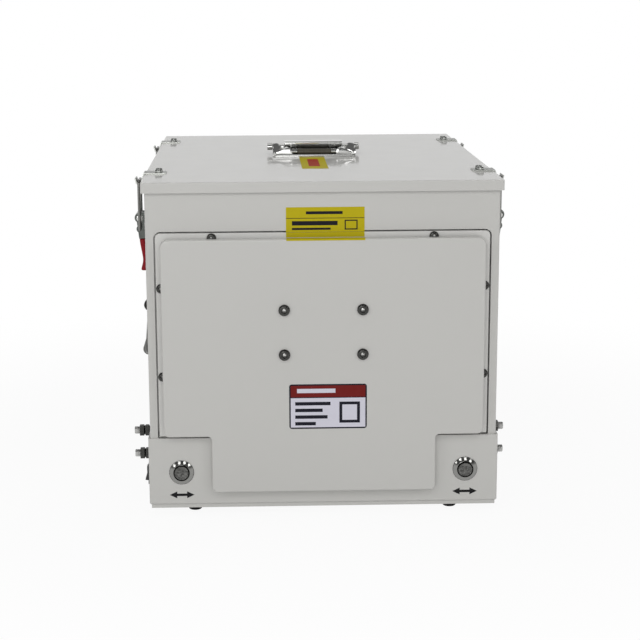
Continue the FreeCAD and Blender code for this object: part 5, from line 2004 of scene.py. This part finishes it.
@dataclass(frozen=True)
class Viewpoint:
    """Camera that matches the reference picture."""

    place: Triple = (-0.06728, -1.83631, 0.54376)
    yaw: float = 1.3777
    pitch: float = 11.9629
    roll: float = -0.3654
    focal_pixels: float = 1602.07
    shift_x: float = 0.04

    def build(self) -> None:
        """Make the camera and give it to the scene."""
        yaw, pitch, roll = (math.radians(angle) for angle in (self.yaw, self.pitch, self.roll))
        ahead = Vector((math.sin(yaw) * math.cos(pitch), math.cos(yaw) * math.cos(pitch), -math.sin(pitch)))
        right = Vector((math.cos(yaw), -math.sin(yaw), 0))
        up = right.cross(ahead)
        tilted_right = right * math.cos(roll) + up * math.sin(roll)
        tilted_up = up * math.cos(roll) - right * math.sin(roll)
        data = bpy.data.cameras.new("viewpoint")
        data.lens = self.focal_pixels / IMAGE_SIDE * data.sensor_width
        data.shift_x = self.shift_x
        camera = bpy.data.objects.new("viewpoint", data)
        camera.matrix_world = Matrix.Translation(self.place) @ Matrix(
            (tilted_right, tilted_up, -ahead)
        ).transposed().to_4x4()
        bpy.context.scene.collection.objects.link(camera)
        bpy.context.scene.camera = camera


@dataclass(frozen=True)
class Lamp:
    """Soft rectangular lamp aimed at a point."""

    name: str
    place: Triple
    target: Triple
    size: float
    power: float

    def build(self) -> None:
        """Hang the lamp."""
        data = bpy.data.lights.new(self.name, "AREA")
        data.shape = "SQUARE"
        data.size = self.size
        data.energy = self.power
        lamp = bpy.data.objects.new(self.name, data)
        lamp.matrix_world = aim(self.place, Vector(self.place) - Vector(self.target))
        bpy.context.scene.collection.objects.link(lamp)


@dataclass
class Studio:
    """Pale floor, even surroundings and soft lamps."""

    floor_radius: float = 8.0
    floor_sides: int = 64
    floor_grey: float = 0.85
    floor_glow: float = 0.93
    white_from: float = 0.32
    white_to: float = 0.9
    light_level: float = 0.385
    ceiling: float = 0.15
    front_wall: float = 0.16
    # Heights between which the surroundings darken in front and behind, and depths between which the two meet.
    front_fade: Place = (0.0, 0.3)
    back_fade: Place = (0.15, 0.29)
    side_fade: Place = (-0.3, 0.4)
    arch_target: Triple = (0, 0, 0.1)
    arch_size: float = 0.5
    arch_power: float = 4.2
    arch: tuple[Triple, ...] = ((-1.9, -1.8, 1.05), (-0.8, -2.0, 1.8), (0.5, -2.0, 1.85), (1.65, -1.85, 1.25))
    lamps: tuple[Lamp, ...] = (
        Lamp("front_lamp", (-0.4, -2.6, 0.75), (0, 0, 0.05), 1.0, 8.0),
        Lamp("top_lamp", (0, 0.3, 2.4), (0, 0, 0.35), 1.2, 7.5),
    )

    def build(self) -> None:
        """Make the floor, the world and the lamps."""
        bpy.context.scene.view_settings.view_transform = "Standard"
        self.floor()
        self.world()
        for lamp in self.lamps:
            lamp.build()
        for number, place in enumerate(self.arch):
            Lamp(f"arch_lamp_{number}", place, self.arch_target, self.arch_size, self.arch_power).build()

    def floor(self) -> None:
        """Pale floor that keeps the shadow near the box and fades to white."""
        points = []
        for step in range(self.floor_sides):
            turn = math.tau * step / self.floor_sides
            points.append((self.floor_radius * math.cos(turn), self.floor_radius * math.sin(turn), 0))
        mesh = bpy.data.meshes.new("floor")
        mesh.from_pydata(points, [], [tuple(range(self.floor_sides))])
        material = bpy.data.materials.new("pale_floor")
        material.use_nodes = True
        graph = Graph(material.node_tree)
        flat = graph.coords((1, 1, 0))
        distance = graph.add("ShaderNodeVectorMath", {"operation": "LENGTH"}, {0: flat}, out="Value")
        white = self.floor_glow + (1 - self.floor_glow) * distance.smooth(self.white_from, self.white_to)
        matte = graph.add("ShaderNodeBsdfDiffuse", {}, {"Color": (self.floor_grey,) * 3})
        glow = graph.add("ShaderNodeEmission", {}, {"Color": (1, 1, 1), "Strength": 1.0})
        mix = graph.add("ShaderNodeMixShader", {}, {0: graph.seen() * white, 1: matte, 2: glow})
        graph.add("ShaderNodeOutputMaterial", {}, {"Surface": mix})
        mesh.materials.append(material)
        linked("floor", mesh)

    def world(self) -> None:
        """Even light for the box; what is seen is white at the horizon and dark overhead and in front."""
        world = bpy.data.worlds.new("studio")
        bpy.context.scene.world = world
        world.use_nodes = True
        graph = Graph(world.node_tree)
        direction = graph.add("ShaderNodeTexCoord", out="Generated")
        height = graph.axis(direction, "Z")
        ahead = graph.blend((1, 1, 1), (self.front_wall,) * 3, height.smooth(*self.front_fade))
        behind = graph.blend((1, 1, 1), (self.ceiling,) * 3, height.smooth(*self.back_fade))
        sky = graph.blend(ahead, behind, graph.axis(direction, "Y").smooth(*self.side_fade))
        seen = graph.add("ShaderNodeBackground", {}, {"Color": sky, "Strength": 1.0})
        level = graph.add("ShaderNodeBackground", {}, {"Color": (1, 1, 1), "Strength": self.light_level})
        mix = graph.add("ShaderNodeMixShader", {}, {0: graph.seen(), 1: level, 2: seen})
        graph.add("ShaderNodeOutputWorld", {}, {"Surface": mix})


def main() -> None:
    """Build the sub-assemblies in order, then the studio, and log each one."""
    logging.basicConfig(level=logging.INFO, format="%(name)s: %(message)s")
    workshop = Workshop(Scatter(), Lattice(), Thread(), Sleeve())
    assemblies = (
        Cabinet(workshop),
        Drawer(workshop),
        Buttons(),
        SideSockets(workshop),
        Latches(workshop),
        TopHandle(workshop),
        SideHandles(workshop),
        Fittings(),
        Viewpoint(),
        Studio(),
    )
    for assembly in assemblies:
        assembly.build()
        LOG.info("built %s", type(assembly).__name__)


if __name__ == "__main__":
    main()
